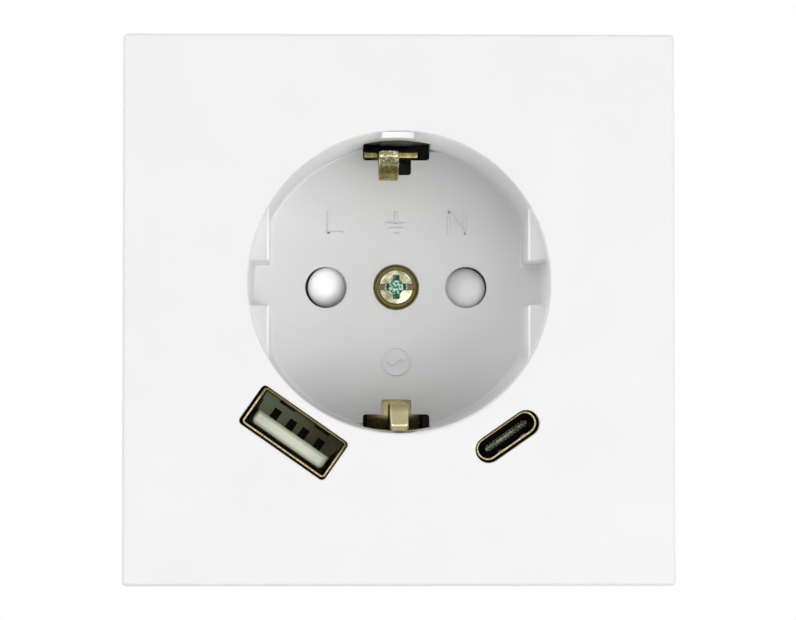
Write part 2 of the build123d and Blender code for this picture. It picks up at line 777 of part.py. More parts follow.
# Housing that closes the back, deeper over the charger
with BuildPart() as rear_housing:
    with BuildSketch(front_plane(housing_depth)):
        housing_outline(0)
    extrude(amount=housing_depth - ring_front)
    fillet(rear_housing.faces().sort_by(Axis.Y)[-1].edges(), housing_wall / 2)
    with BuildSketch(front_plane(charger_depth)):
        housing_outline(0)
        with Locations((0, charger_top + plate_side / 2)):
            Rectangle(plate_side, plate_side, mode=Mode.SUBTRACT)
    extrude(amount=charger_depth - ring_front)
    fillet(rear_housing.faces().sort_by(Axis.Y)[-1].edges(), housing_wall / 2)
    with BuildSketch(front_plane(housing_inner)):
        housing_outline(-housing_wall)
    extrude(amount=housing_inner - ring_front, mode=Mode.SUBTRACT)
    with BuildSketch(front_plane(charger_inner)):
        housing_outline(-housing_wall)
        with Locations((0, charger_top - housing_wall + plate_side / 2)):
            Rectangle(plate_side, plate_side, mode=Mode.SUBTRACT)
    extrude(amount=charger_inner - ring_front, mode=Mode.SUBTRACT)
    with BuildSketch(front_plane(housing_depth)):
        for name, pole_x, level in poles:
            with Locations((pole_x, level - button_drop - button_height / 2)):
                Rectangle(button_width + 2 * button_gap, button_height + 2 * button_gap)
            with Locations((pole_x, level - wire_hole / 2 - wire_gap)):
                with GridLocations(wire_pitch, 1, 2, 1):
                    RectangleRounded(wire_hole, wire_hole, wire_hole / 4)
        with Locations(*housing_screw_places):
            Circle(housing_screw / 2 + housing_screw_gap)
    extrude(amount=housing_wall, mode=Mode.SUBTRACT)
finish(rear_housing, "rear_housing")

# Screws through the back into the posts of the base
with BuildPart() as housing_screws:
    with BuildSketch(front_plane(housing_depth + housing_head_height)):
        with Locations(*housing_screw_places):
            Circle(housing_screw_head / 2)
    extrude(amount=housing_head_height)
    head_rims = housing_screws.faces().filter_by(Axis.Y).group_by(Axis.Y)[-1].edges()
    fillet(head_rims, housing_head_round)
    with BuildSketch(front_plane(housing_depth)):
        with Locations(*housing_screw_places):
            Circle(housing_screw / 2)
    extrude(amount=housing_wall + housing_screw_grip)
    with BuildSketch(front_plane(housing_depth + housing_head_height)):
        with Locations(*housing_screw_places):
            Rectangle(housing_cross, housing_cross_width)
            Rectangle(housing_cross_width, housing_cross)
    extrude(amount=housing_cross_depth, mode=Mode.SUBTRACT)
finish(housing_screws, "housing_screws")

# Crescent board that carries both receptacles
with BuildPart() as port_board:
    with BuildSketch(front_plane(port_board_rear)):
        housing_outline(-housing_wall - fit_gap)
        with Locations((0, well_rise)):
            Circle(sleeve_bore, mode=Mode.SUBTRACT)
        with Locations((0, port_board_top - fit_gap + plate_side / 2)):
            Rectangle(plate_side, plate_side, mode=Mode.SUBTRACT)
        with Locations((0, well_rise - sleeve_bore)):
            Rectangle(bar_width, 2 * well_wall, mode=Mode.SUBTRACT)
    extrude(amount=board_thickness)
finish(port_board, "port_board")

# USB-A receptacle: folded shell with spring tabs, insulator with tongue, four contacts
shell_w, shell_h = usb_a_shell_size
inner_w = shell_w - 2 * shell_sheet
inner_h = shell_h - 2 * shell_sheet
tab_place = 2.75
tab_width = 2.4
tab_gap = 0.3
tab_root = port_recess + 7.0
tab_window = 5.5
tab_knee = port_recess + 4.0
tab_tip = port_recess + 2.0
tab_dip = 0.6
tab_lift = 0.25
tab_bend = 1.0

# Turn from the top wall, place along the wall and reach to its outside for each tab
tab_walls = (
    (0, -tab_place, shell_h / 2),
    (0, tab_place, shell_h / 2),
    (180, -tab_place, shell_h / 2),
    (180, tab_place, shell_h / 2),
    (90, 0, shell_w / 2),
    (270, 0, shell_w / 2),
)
shell_place = port_place(-1, usb_a_reach - usb_a_lift, usb_a_shift)
with BuildPart() as usb_a_shell:
    with BuildSketch(usb_a_plane(port_board_front)):
        RectangleRounded(shell_w, shell_h, usb_a_corner)
        RectangleRounded(inner_w, inner_h, usb_a_corner - shell_sheet, mode=Mode.SUBTRACT)
    extrude(amount=port_board_front - port_recess)
    fillet(usb_a_shell.faces().sort_by(Axis.Y)[0].edges(), shell_edge)
    for turn, place, reach in tab_walls:
        with BuildSketch(usb_a_plane(tab_root, turn)):
            with Locations((place, reach)):
                Rectangle(tab_width + 2 * tab_gap, 4 * shell_sheet)
        extrude(amount=tab_window, mode=Mode.SUBTRACT)
        with BuildSketch(side_plane(*shell_place, turn - port_angle).offset(place - tab_width / 2)):
            with BuildLine():
                FilletPolyline(
                    (tab_root + shell_sheet, reach - shell_sheet / 2),
                    (tab_knee, reach - tab_dip),
                    (tab_tip, reach - tab_lift),
                    radius=tab_bend,
                )
            trace(line_width=shell_sheet)
        extrude(amount=tab_width)
finish(usb_a_shell, "usb_a_shell")

tongue_width = 11.2
tongue_height = 1.95
tongue_drop = 2.7
tongue_recess = port_recess + 1.2
tongue_corner = 0.7
tongue_nose = 0.35
tongue_root = port_recess + 10.0
blade_width = 1.0
blade_height = 0.3
blade_gap = 0.05
blade_lane = 0.3
blade_slot = 1.4
blade_depth = 4.2
blade_inner = 1.0
blade_outer = 3.5
tongue_top = inner_h / 2 - tongue_drop
blade_row = (-blade_outer, -blade_inner, blade_inner, blade_outer)
blade_places = [(place, tongue_top) for place in blade_row]
with BuildPart() as usb_a_insulator:
    with BuildSketch(usb_a_plane(port_board_front)):
        Rectangle(inner_w - 2 * insulator_gap, inner_h - 2 * insulator_gap)
    extrude(amount=port_board_front - tongue_root)
    with BuildSketch(usb_a_plane(tongue_root)) as tongue:
        with Locations((0, tongue_top - tongue_height / 2)):
            Rectangle(tongue_width, tongue_height)
        fillet(tongue.vertices().group_by(Axis.Y)[0], tongue_corner)
    extrude(amount=tongue_root - tongue_recess)
    nose = usb_a_insulator.faces().sort_by(Axis.Y)[0].edges()
    chamfer(nose, tongue_nose)
    with BuildSketch(usb_a_plane(tongue_root + blade_depth)):
        with Locations(*blade_places):
            Rectangle(blade_width + 2 * blade_gap, blade_slot, align=(Align.CENTER, Align.MIN))
    extrude(amount=blade_depth, mode=Mode.SUBTRACT)
    with BuildSketch(usb_a_plane(tongue_root + blade_depth)):
        with Locations(*blade_places):
            Rectangle(blade_width + 2 * blade_gap, 2 * blade_lane)
    extrude(amount=tongue_root + blade_depth - tongue_recess - tongue_nose, mode=Mode.SUBTRACT)
finish(usb_a_insulator, "usb_a_insulator")

with BuildPart() as usb_a_contacts:
    with BuildSketch(usb_a_plane(tongue_root + blade_depth - blade_gap)):
        with Locations((0, -blade_lane)):
            with Locations(*blade_places):
                Rectangle(blade_width, blade_height, align=(Align.CENTER, Align.MIN))
    extrude(amount=tongue_root + blade_depth - tongue_recess - tongue_nose - 2 * blade_gap)
finish(usb_a_contacts, "usb_a_contacts")

# USB-C receptacle: drawn shell with two dimples, insulator with thin tongue, two rows of contacts
shell_cw, shell_ch = usb_c_shell_size
inner_cw = shell_cw - 2 * shell_sheet
inner_ch = shell_ch - 2 * shell_sheet
dimple_radius = 1.0
dimple_height = 0.15
dimple_place = 1.8
dimple_depth = port_recess + 1.6
dimple_drop = inner_ch / 2 + dimple_radius - dimple_height
with BuildPart() as usb_c_shell:
    with BuildSketch(usb_c_plane(dimple_depth)):
        with Locations((-dimple_place, -dimple_drop), (dimple_place, -dimple_drop)):
            Circle(dimple_radius)
    extrude(amount=dimple_radius, both=True)
    with BuildSketch(usb_c_plane(port_board_front)):
        SlotOverall(shell_cw, shell_ch)
    extrude(amount=port_board_front - port_recess, mode=Mode.INTERSECT)
    with BuildSketch(usb_c_plane(port_board_front)):
        SlotOverall(shell_cw, shell_ch)
        SlotOverall(inner_cw, inner_ch, mode=Mode.SUBTRACT)
    extrude(amount=port_board_front - port_recess)
    fillet(usb_c_shell.faces().sort_by(Axis.Y)[0].edges(), shell_edge)
finish(usb_c_shell, "usb_c_shell")

leaf_width = 6.5
leaf_height = 0.65
leaf_recess = port_recess + 0.9
leaf_root = port_recess + 6.0
pad_pitch = 0.5
pad_count = 12
pad_width = 0.26
pad_height = 0.05
pad_recess = 0.4
with BuildPart() as usb_c_insulator:
    with BuildSketch(usb_c_plane(port_board_front)):
        SlotOverall(inner_cw - 2 * insulator_gap, inner_ch - 2 * insulator_gap)
    extrude(amount=port_board_front - leaf_root)
    with BuildSketch(usb_c_plane(leaf_root)):
        Rectangle(leaf_width, leaf_height)
    extrude(amount=leaf_root - leaf_recess)
finish(usb_c_insulator, "usb_c_insulator")

with BuildPart() as usb_c_contacts:
    with BuildSketch(usb_c_plane(leaf_root)):
        with GridLocations(pad_pitch, leaf_height + pad_height, pad_count, 2):
            Rectangle(pad_width, pad_height)
    extrude(amount=leaf_root - leaf_recess - pad_recess)
finish(usb_c_contacts, "usb_c_contacts")

# Charger board behind the deck, and the pin row that joins it to the port board
with BuildPart() as power_board:
    with BuildSketch(front_plane(power_board_rear)):
        housing_outline(-housing_wall - fit_gap)
        with Locations((0, block_low - fit_gap + plate_side / 2)):
            Rectangle(plate_side, plate_side, mode=Mode.SUBTRACT)
    extrude(amount=board_thickness)
finish(power_board, "power_board")

pin_row_z = -22.6
pin_row_pitch = 2.54
pin_row_count = 4
row_pin = 0.64
with BuildPart() as board_pins:
    with BuildSketch(front_plane(power_board_front, 0, pin_row_z)):
        with GridLocations(pin_row_pitch, 1, pin_row_count, 1):
            Rectangle(row_pin, row_pin)
    extrude(amount=power_board_front - port_board_rear)
finish(board_pins, "board_pins")

# Transformer: three-legged core with the winding on its middle leg
winding_gap = 0.2
winding_round = 1.5
window_width = core_width / 2 - core_leg
with BuildPart() as transformer_core:
    with BuildSketch(Plane(origin=(0, 0, core_z), x_dir=(1, 0, 0), z_dir=(0, 0, 1))):
        with Locations((0, power_board_rear + core_height / 2 - wall_proud)):
            Rectangle(core_width, core_height)
            with GridLocations(core_width / 2, 1, 2, 1):
                Rectangle(window_width, core_height - core_leg, mode=Mode.SUBTRACT)
    extrude(amount=core_leg / 2, both=True)
finish(transformer_core, "transformer_core")

with BuildPart() as transformer_winding:
    with BuildSketch(front_plane(core_rear - core_leg / 2 - winding_gap, 0, core_z)):
        RectangleRounded(core_width - core_leg - 3 * winding_gap, core_leg + core_width / 4, winding_round)
        Rectangle(core_leg + winding_gap, core_leg + winding_gap, mode=Mode.SUBTRACT)
    extrude(amount=core_height - core_leg - 2 * winding_gap)
finish(transformer_winding, "transformer_winding")

# Capacitors, rectifier, fuse and chips on the charger board
can_diameter = 8.0
can_length = 11.5
can_x = 14.4
small_can_diameter = 6.4
small_can_length = 9.5
small_can_drop = 8.0
with BuildPart() as input_capacitors:
    with BuildSketch(front_plane(power_board_rear + can_length)):
        with Locations((-can_x, core_z), (can_x, core_z)):
            Circle(can_diameter / 2)
    extrude(amount=can_length)
finish(input_capacitors, "input_capacitors")

with BuildPart() as output_capacitor:
    with BuildSketch(front_plane(power_board_rear + small_can_length, 0, core_z - small_can_drop)):
        Circle(small_can_diameter / 2)
    extrude(amount=small_can_length)
finish(output_capacitor, "output_capacitor")

part_x = 7.5
part_rise = 7.2
rectifier_size = (6.4, 4.0, 2.4)
fuse_size = (7.0, 3.6, 6.0)
fuse_round = 0.8
chip_size = (5.0, 4.0, 1.5)
chip_x = 8.0
chip_drop = 7.4
with BuildPart() as rectifier:
    with BuildSketch(front_plane(power_board_rear + rectifier_size[2], -part_x, core_z + part_rise)):
        Rectangle(rectifier_size[0], rectifier_size[1])
    extrude(amount=rectifier_size[2])
finish(rectifier, "rectifier")

with BuildPart() as fuse:
    with BuildSketch(front_plane(power_board_rear + fuse_size[2], part_x, core_z + part_rise)):
        RectangleRounded(fuse_size[0], fuse_size[1], fuse_round)
    extrude(amount=fuse_size[2])
finish(fuse, "fuse")

with BuildPart() as controller_chips:
    with BuildSketch(front_plane(power_board_rear + chip_size[2], 0, core_z - chip_drop)):
        with Locations((-chip_x, 0), (chip_x, 0)):
            Rectangle(chip_size[0], chip_size[1])
    extrude(amount=chip_size[2])
finish(controller_chips, "controller_chips")

# Wire links from the pin contacts to the charger board
lead_z = block_low - 3 * lead_wire
lead_top = well_rise + pin_diameter / 2
lead_rear = contact_rear + 1.6 * lead_wire
for side, name in ((-1, "line_lead"), (1, "neutral_lead")):
    lead_x = side * (pin_x + pin_diameter / 2 + contact_sheet)
    with BuildPart() as lead:
        with BuildLine(side_plane(lead_x)) as lead_path:
            FilletPolyline(
                (contact_rear, lead_top),
                (lead_rear, lead_top),
                (lead_rear, lead_z),
                (power_board_rear, lead_z),
                radius=lead_wire,
            )
        with BuildSketch(Plane(origin=lead_path.line @ 0, z_dir=lead_path.line % 0)):
            Circle(lead_wire / 2)
        sweep(path=lead_path.line)
    finish(lead, name)
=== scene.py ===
"""Looks of a flush wall socket with a shuttered plug well and two charging ports.

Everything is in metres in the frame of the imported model: +Z up, +X to the right, the cover facing -Y.
"""

from math import cos, pi, radians, sin

import bmesh
import bpy
import numpy as np
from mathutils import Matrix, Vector


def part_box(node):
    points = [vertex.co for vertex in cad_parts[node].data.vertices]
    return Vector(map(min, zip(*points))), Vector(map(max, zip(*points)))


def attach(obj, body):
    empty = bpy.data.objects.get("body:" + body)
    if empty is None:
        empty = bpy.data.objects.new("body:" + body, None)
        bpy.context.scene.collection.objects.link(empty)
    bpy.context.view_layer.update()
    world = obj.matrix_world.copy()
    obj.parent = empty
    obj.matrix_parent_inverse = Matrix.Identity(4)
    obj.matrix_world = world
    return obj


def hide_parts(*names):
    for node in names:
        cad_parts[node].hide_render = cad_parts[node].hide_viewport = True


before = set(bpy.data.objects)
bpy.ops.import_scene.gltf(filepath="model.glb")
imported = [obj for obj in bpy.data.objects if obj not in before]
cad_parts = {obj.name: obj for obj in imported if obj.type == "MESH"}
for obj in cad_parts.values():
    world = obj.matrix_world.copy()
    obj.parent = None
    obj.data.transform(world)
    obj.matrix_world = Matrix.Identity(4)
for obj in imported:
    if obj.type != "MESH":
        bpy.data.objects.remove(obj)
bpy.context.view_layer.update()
bpy.context.scene.view_settings.view_transform = "Standard"


# Support ring: a square of zinc-plated steel sheet, punched for the housing, the two box screws and
# the four pegs of the base, and screwed flat against the wall.
mm = 0.001


class Shade:
    """One socket of a material: operators between sockets and numbers add Math nodes."""

    def __init__(self, tree, socket=None):
        self.tree = tree
        self.socket = socket

    def node(self, kind, settings=None, inputs=None, output=0):
        """Add a node, give it its settings, then the values or links of its sockets."""
        made = self.tree.nodes.new(kind)
        for name, value in (settings or {}).items():
            setattr(made, name, value)
        self.fill(made, inputs or {})
        return Shade(self.tree, made.outputs[output])

    def fill(self, made, inputs):
        """Link or set sockets of a node, by name or number."""
        for name, value in inputs.items():
            if isinstance(value, Shade):
                self.tree.links.new(value.socket, made.inputs[name])
            else:
                made.inputs[name].default_value = value

    def maths(self, operation, *values):
        """A Math node on numbers and sockets."""
        return self.node("ShaderNodeMath", {"operation": operation}, dict(enumerate(values)))

    def __add__(self, other):
        return self.maths("ADD", self, other)

    def __sub__(self, other):
        return self.maths("SUBTRACT", self, other)

    def __rsub__(self, other):
        return self.maths("SUBTRACT", other, self)

    def __mul__(self, other):
        return self.maths("MULTIPLY", self, other)

    __radd__ = __add__
    __rmul__ = __mul__

    def __abs__(self):
        return self.maths("ABSOLUTE", self)

    def along(self, axis):
        """One axis of a vector socket."""
        return self.node("ShaderNodeSeparateXYZ", {}, {"Vector": self}, output=axis)

    def away_from(self, x, z):
        """Distance of object coordinates from an axis along Y."""
        right = self.along("X") - x
        over = self.along("Z") - z
        return self.maths("SQRT", right * right + over * over)

    def step(self, low, high):
        """Smooth step from 0 at low to 1 at high, for rising or falling edges."""
        settings = {"interpolation_type": "SMOOTHSTEP"}
        inputs = {"Value": self, "From Min": low, "From Max": high}
        return self.node("ShaderNodeMapRange", settings, inputs)

    def within(self, low, high, rise, fall):
        """1 between two values and 0 outside: it rises over a width at low and falls over one at high."""
        return self.step(low, low + rise) * self.step(high, high - fall)

    def between(self, first, second):
        """Colour that runs from a first to a second colour as this value goes from 0 to 1."""
        ends = {0: self, 6: rgba(first), 7: rgba(second)}
        return self.node("ShaderNodeMix", {"data_type": "RGBA"}, ends, output=2)

    def noise(self, size, detail=2, stretch=(1, 1, 1), offset=0.0):
        """Noise on object coordinates with features of about a size, drawn out per axis."""
        place = {"Vector": self, "Location": (offset,) * 3, "Scale": stretch}
        moved = self.node("ShaderNodeMapping", {}, place)
        return self.node("ShaderNodeTexNoise", {}, {"Vector": moved, "Scale": 1 / size, "Detail": detail})


def rgba(colour):
    """A colour as a socket takes it: a linked one as it is, a triple with full alpha."""
    return colour if isinstance(colour, Shade) else (*colour, 1.0)


def new_finish(name):
    """A new material, its object coordinates and its Principled node."""
    material = bpy.data.materials.new(name)
    material.use_nodes = True
    tree = material.node_tree
    place = Shade(tree).node("ShaderNodeTexCoord", output="Object")
    return material, place, tree.nodes["Principled BSDF"]


def relief(height, strength, depth, round_edge=0.0):
    """Normal from a height field of a depth, over edges softened by a small radius."""
    inputs = {"Height": height, "Strength": strength, "Distance": depth}
    if round_edge:
        inputs["Normal"] = height.node("ShaderNodeBevel", {"samples": 4}, {"Radius": round_edge})
    return height.node("ShaderNodeBump", {}, inputs)


def add_piece(name, mesh, material, slot, body, *stands_for):
    """Put a mesh in the scene as a finished piece that rides on a body."""
    mesh.materials.clear()
    mesh.materials.append(material)
    piece = bpy.data.objects.new(name, mesh)
    bpy.context.scene.collection.objects.link(piece)
    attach(piece, body)
    if stands_for:
        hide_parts(*stands_for)
    return piece


def finish_node(node, material, slot, body="socket", sharp=32, edge=0.0):
    """Stand a merged copy of a node in its place, its flat faces joined up and its edges broken.

    Edges steeper than the angle stay sharp or get a small bevel, and flat faces keep flat normals.
    """
    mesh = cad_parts[node].data.copy()
    form = bmesh.new()
    form.from_mesh(mesh)
    bmesh.ops.remove_doubles(form, verts=form.verts, dist=1e-6)
    bmesh.ops.dissolve_degenerate(form, edges=form.edges, dist=1e-7)
    bmesh.ops.dissolve_limit(form, angle_limit=radians(0.2), verts=form.verts, edges=form.edges)
    form.to_mesh(mesh)
    form.free()
    mesh.shade_smooth()
    mesh.set_sharp_from_angle(angle=radians(sharp))
    piece = add_piece(f"{node}_finished", mesh, material, slot, body, node)
    if edge:
        broken = piece.modifiers.new("broken_edges", "BEVEL")
        broken.width = edge
        broken.segments = 3
        broken.limit_method = "ANGLE"
        broken.angle_limit = radians(sharp)
    flats = piece.modifiers.new("flat_faces", "WEIGHTED_NORMAL")
    flats.mode = "FACE_AREA"
    flats.weight = 100
    flats.keep_sharp = True


zinc, at, shader = new_finish("zinc_plate")
grain = at.noise(0.6 * mm, detail=3, stretch=(0.06, 1, 1))
cloud = at.noise(9 * mm)
tint = cloud.step(0.35, 0.7).between((0.63, 0.65, 0.67), (0.7, 0.69, 0.64))
at.fill(shader, {
    "Base Color": grain.step(0.3, 0.8).between((0.58, 0.6, 0.62), tint),
    "Metallic": 1.0,
    "Roughness": 0.28 + 0.16 * grain + 0.08 * cloud,
    "Normal": relief(grain, strength=0.08, depth=0.05 * mm, round_edge=0.15 * mm),
})
finish_node("support_ring", zinc, "zinc_steel", edge=0.1 * mm)

# Base moulding: dark grey filled plastic, moulded with the flange, the sleeve round the well, the
# deck, the terminal walls and the shields that show in the openings of the well, which are painted
# paler with painted light.
dark, at, shader = new_finish("dark_moulding")
speck = at.noise(0.22 * mm, detail=3)
drift = at.noise(6 * mm)
plain = drift.step(0.3, 0.75).between((0.055, 0.055, 0.056), (0.075, 0.075, 0.076))
# Painted light: the shields in the upper opening are painted paler, most of all beside the middle, where
# they lie deepest in shade.
lit_shield = at.along("Z").step(20.2 * mm, 20.8 * mm) * at.along("Y").step(0.5 * mm, -0.3 * mm)
beside = abs(at.along("X")).step(2.0 * mm, 2.4 * mm)
lit_shield_tint = beside.between((0.25, 0.25, 0.254), (0.6, 0.6, 0.608))
at.fill(shader, {
    "Base Color": lit_shield.between(plain, lit_shield_tint),
    "Roughness": 0.42 + 0.2 * speck,
    "Normal": relief(speck, strength=0.22, depth=0.06 * mm, round_edge=0.1 * mm),
})
finish_node("socket_base", dark, "dark_plastic")

# Square nut of the cover screw: zinc-plated steel, pressed and tapped, trapped in a pocket behind the
# deck so that the screw can be turned from the front.
finish_node("cover_nut", zinc, "zinc_steel", edge=0.15 * mm)

# Earth bracket and pin contacts: punched and folded from rolled brass strip, dull, with fine rolling
# lines and a crinkled surface. Painted light and shade: the lower parts painted lighter, a painted sheen
# on the lower finger with painted shade at its root and a painted shadow in the gap beside it, painted
# glints and a painted dark band on the upper finger, and painted shade on the parts that lie deep inside,
# to the sides.
brass, at, shader = new_finish("rolled_brass")
lines = at.noise(0.12 * mm, detail=3, stretch=(1, 0.06, 0.06))
stain = at.noise(0.5 * mm, detail=3, stretch=(1, 0.5, 0.7))
crinkle = at.noise(0.55 * mm, detail=3, offset=0.4)
across = at.along("X")
depth = at.along("Y")
height = at.along("Z")
finger = depth.step(3.0 * mm, 1.0 * mm)
# Painted light: the lower parts of the bracket are painted lighter than the upper ones.
lower_half = height.step(-8.0 * mm, -10.0 * mm)
# Painted shadow in the gap beside the lower finger.
gap_shadow = (1 - finger) * across.within(-1.1 * mm, 0, rise=0.2 * mm, fall=0.3 * mm)
gap_shadow = gap_shadow * height.step(-12.0 * mm, -12.4 * mm)
# Painted sheen on the lower finger with painted shade at its root; a painted dark band and painted glints
# on the upper one.
lower_sheen = finger * height.step(-12.2 * mm, -13.6 * mm)
shade_band = finger * height.within(18.2 * mm, 19.6 * mm, rise=0.4 * mm, fall=0.5 * mm)
glint = finger * height.step(18.8 * mm, 20.0 * mm) * crinkle.step(0.51, 0.59)
# Painted shade on the parts that lie deep inside, to the sides, where the pin contacts are.
deep_shade = depth.step(8.0 * mm, 14.0 * mm) * abs(across).step(6.0 * mm, 7.0 * mm)
upper_tint = stain.step(0.32, 0.68).between((0.32, 0.265, 0.095), (0.56, 0.49, 0.23))
lower_lit_tint = stain.between((0.6, 0.5, 0.23), (0.9, 0.8, 0.48))
root_shade_tint = stain.between((0.4, 0.34, 0.14), (0.56, 0.5, 0.24))
lower_sheen_tint = stain.between((0.92, 0.82, 0.46), (1.0, 0.94, 0.64))
tint = gap_shadow.between(lower_half.between(upper_tint, lower_lit_tint), (0.03, 0.025, 0.01))
tint = lower_sheen.between((finger * lower_half).between(tint, root_shade_tint), lower_sheen_tint)
tint = glint.between((0.7 * shade_band).between(tint, (0.15, 0.11, 0.025)), (0.95, 0.92, 0.76))
at.fill(shader, {
    "Base Color": deep_shade.between(tint, (0.1, 0.08, 0.03)),
    "Metallic": 1.0,
    "Roughness": 0.22 + 0.12 * stain + 0.06 * lines,
    "Normal": relief(lines * 0.2 + crinkle * 0.8, strength=0.4, depth=0.14 * mm),
})
finish_node("earth_bracket", brass, "brass", edge=0.22 * mm)
for node in ("line_contact", "neutral_contact"):
    finish_node(node, brass, "brass", edge=0.08 * mm)

# Shutter: a white moulded rotor, a hub ring with two arms whose domed caps close the pin holes until
# both are pushed. The caps glow with painted light, the left one more than the right.


def turned_grid(x, z, radius, depth):
    """Points of a turned surface about an axis along Y at x and z.

    Rows follow the profile and columns go round the axis: a point lies at its radius times the cosine
    and the sine of its column's angle to the right of and above the axis, at its own depth along Y.
    """
    turn = np.linspace(0, 2 * pi, np.broadcast(radius, depth).shape[1], endpoint=False)
    place = (x + radius * np.cos(turn), depth, z + radius * np.sin(turn))
    return np.stack(np.broadcast_arrays(*place), axis=-1)


def strip_grid(path, width, foot, crest, loop=False):
    """Points of a raised strip, a chamfered profile carried along a path of x and z points.

    Rows follow the path and columns go round the profile, which stands on the foot depth, reaches to
    the crest depth and is set off across the path by half the width. An open strip's first and last
    rows draw together to one point each, which closes its ends.
    """
    path = np.asarray(path, dtype=float)
    ahead = np.roll(path, -1, axis=0) - np.roll(path, 1, axis=0) if loop else np.gradient(path, axis=0)
    across = np.stack((-ahead[:, 1], ahead[:, 0]), axis=1)
    across /= np.linalg.norm(across, axis=1, keepdims=True)
    soften = np.sign(crest - foot) * min(0.2 * width, 0.5 * abs(crest - foot))
    half = width / 2 - abs(soften)
    offset = np.array([-width / 2, -width / 2, -half, half, width / 2, width / 2])
    depth = np.array([foot, crest - soften, crest, crest, crest - soften, foot])
    flat = path[:, None, :] + offset[None, :, None] * across[:, None, :]
    points = np.stack((flat[..., 0], np.broadcast_to(depth, flat.shape[:2]), flat[..., 1]), axis=-1)
    if not loop:
        ends = points[[0, -1]].mean(axis=1, keepdims=True) + np.zeros((1, len(offset), 1))
        points = np.concatenate((ends[:1], points, ends[1:]))
    return points


def grid_mesh(name, *grids, loop=False, sharp=40):
    """Mesh of point grids, each closed round its columns and, where they loop, along its rows.

    Four points that are neighbours in two rows and two columns make a face.
    """
    faces = []
    start = 0
    for grid in grids:
        number = start + np.arange(grid.shape[0] * grid.shape[1]).reshape(grid.shape[:2])
        start += number.size
        if loop:
            number = np.vstack((number, number[:1]))
        beside = np.roll(number, -1, axis=1)
        quads = np.stack((number[:-1], number[1:], beside[1:], beside[:-1]), axis=-1)
        faces.append(quads.reshape(-1, 4))
    points = np.concatenate([grid.reshape(-1, 3) for grid in grids])
    mesh = bpy.data.meshes.new(name)
    mesh.from_pydata(points, [], np.concatenate(faces).tolist())
    form = bmesh.new()
    form.from_mesh(mesh)
    bmesh.ops.remove_doubles(form, verts=form.verts, dist=1e-8)
    bmesh.ops.recalc_face_normals(form, faces=form.faces)
    form.to_mesh(mesh)
    form.free()
    mesh.shade_smooth()
    mesh.set_sharp_from_angle(angle=radians(sharp))
    return mesh


def join_meshes(name, *meshes):
    """One mesh with the closed shells of several."""
    form = bmesh.new()
    for mesh in meshes:
        form.from_mesh(mesh)
    joined = bpy.data.meshes.new(name)
    form.to_mesh(joined)
    form.free()
    return joined


rotor_low, rotor_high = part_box("shutter_rotor")
rotor_x = (rotor_low.x + rotor_high.x) / 2
rotor_z = (rotor_low.z + rotor_high.z) / 2
hub_front = rotor_low.y + 1.1 * mm
hub_edge = 0.2 * mm
hub_inner = 3.5 * mm
hub_outer = 5.6 * mm
hub_radius = np.array([hub_inner, hub_inner + hub_edge, hub_outer - hub_edge, hub_outer])
hub_radius = np.concatenate((hub_radius, hub_radius[::-1]))
front_depth = hub_front + hub_edge * np.array([1, 0, 0, 1])
rear_depth = rotor_high.y - hub_edge * np.array([1, 0, 0, 1])
hub_depth = np.concatenate((front_depth, rear_depth))
hub_grid = turned_grid(rotor_x, rotor_z, hub_radius[:, None] + np.zeros(96), hub_depth[:, None])
hub_mesh = grid_mesh("hub", hub_grid, loop=True)

pin_x = 9.5 * mm
arm_width = 3.2 * mm
cap_bow = 1 / (14 * mm)
cap_lean = 0.17
cap_drop = 0.18 * mm
cap_centre = rotor_low.y + 0.12 * mm
left_cap = (-1, 2.7 * mm, 0.27 * mm, 0.07 * mm)
right_cap = (1, 2.74 * mm, -0.1 * mm, -0.06 * mm)
cap_turn = np.linspace(0, 2 * pi, 96, endpoint=False)
cap_grids = []
for side, cap_radius, cap_shift, cap_lift in (left_cap, right_cap):
    reach = cap_radius * np.sin(np.linspace(0, pi / 2, 40))[:, None]
    lean = -side * cap_lean * reach * np.cos(cap_turn + pi / 4)
    crown = cap_centre + cap_bow * reach ** 2 + lean + cap_drop * (reach / cap_radius) ** 10
    cap_reach = np.vstack((reach, [[cap_radius], [0.0]]))
    cap_depth = np.vstack((crown, np.full((2, cap_turn.size), rotor_high.y)))
    cap_x = side * pin_x + cap_shift
    cap_grids.append(turned_grid(cap_x, rotor_z + cap_lift, cap_reach, cap_depth))
    arm_path = [(rotor_x + side * (hub_inner + hub_edge), rotor_z), (cap_x, rotor_z)]
    cap_grids.append(strip_grid(arm_path, arm_width, rotor_high.y, hub_front))
shutter_mesh = join_meshes("shutter", hub_mesh, grid_mesh("caps", *cap_grids))

shutter_white, at, shader = new_finish("white_shutter")
speck = at.noise(0.18 * mm)
# Painted light: the caps glow, the left one more, brightest near a point on each.
left_painted_glow = at.away_from(-pin_x - 0.1 * mm, rotor_z + 0.5 * mm).step(3.5 * mm, 0.9 * mm)
right_painted_glow = at.away_from(pin_x - 0.3 * mm, rotor_z + 0.4 * mm).step(4.5 * mm, 1.5 * mm)
at.fill(shader, {
    "Base Color": at.noise(4 * mm).step(0.3, 0.7).between((0.88, 0.885, 0.88), (0.91, 0.915, 0.91)),
    "Roughness": 0.2 + 0.08 * speck,
    "Emission Color": (0.38 * left_painted_glow + 0.14 * right_painted_glow).between((0, 0, 0), (1, 1, 1)),
    "Emission Strength": 1.0,
    "Normal": relief(speck, strength=0.05, depth=0.03 * mm),
})
shutter_name = "shutter_rotor_finished"
add_piece(shutter_name, shutter_mesh, shutter_white, "white_shutter", "shutter", "shutter_rotor")

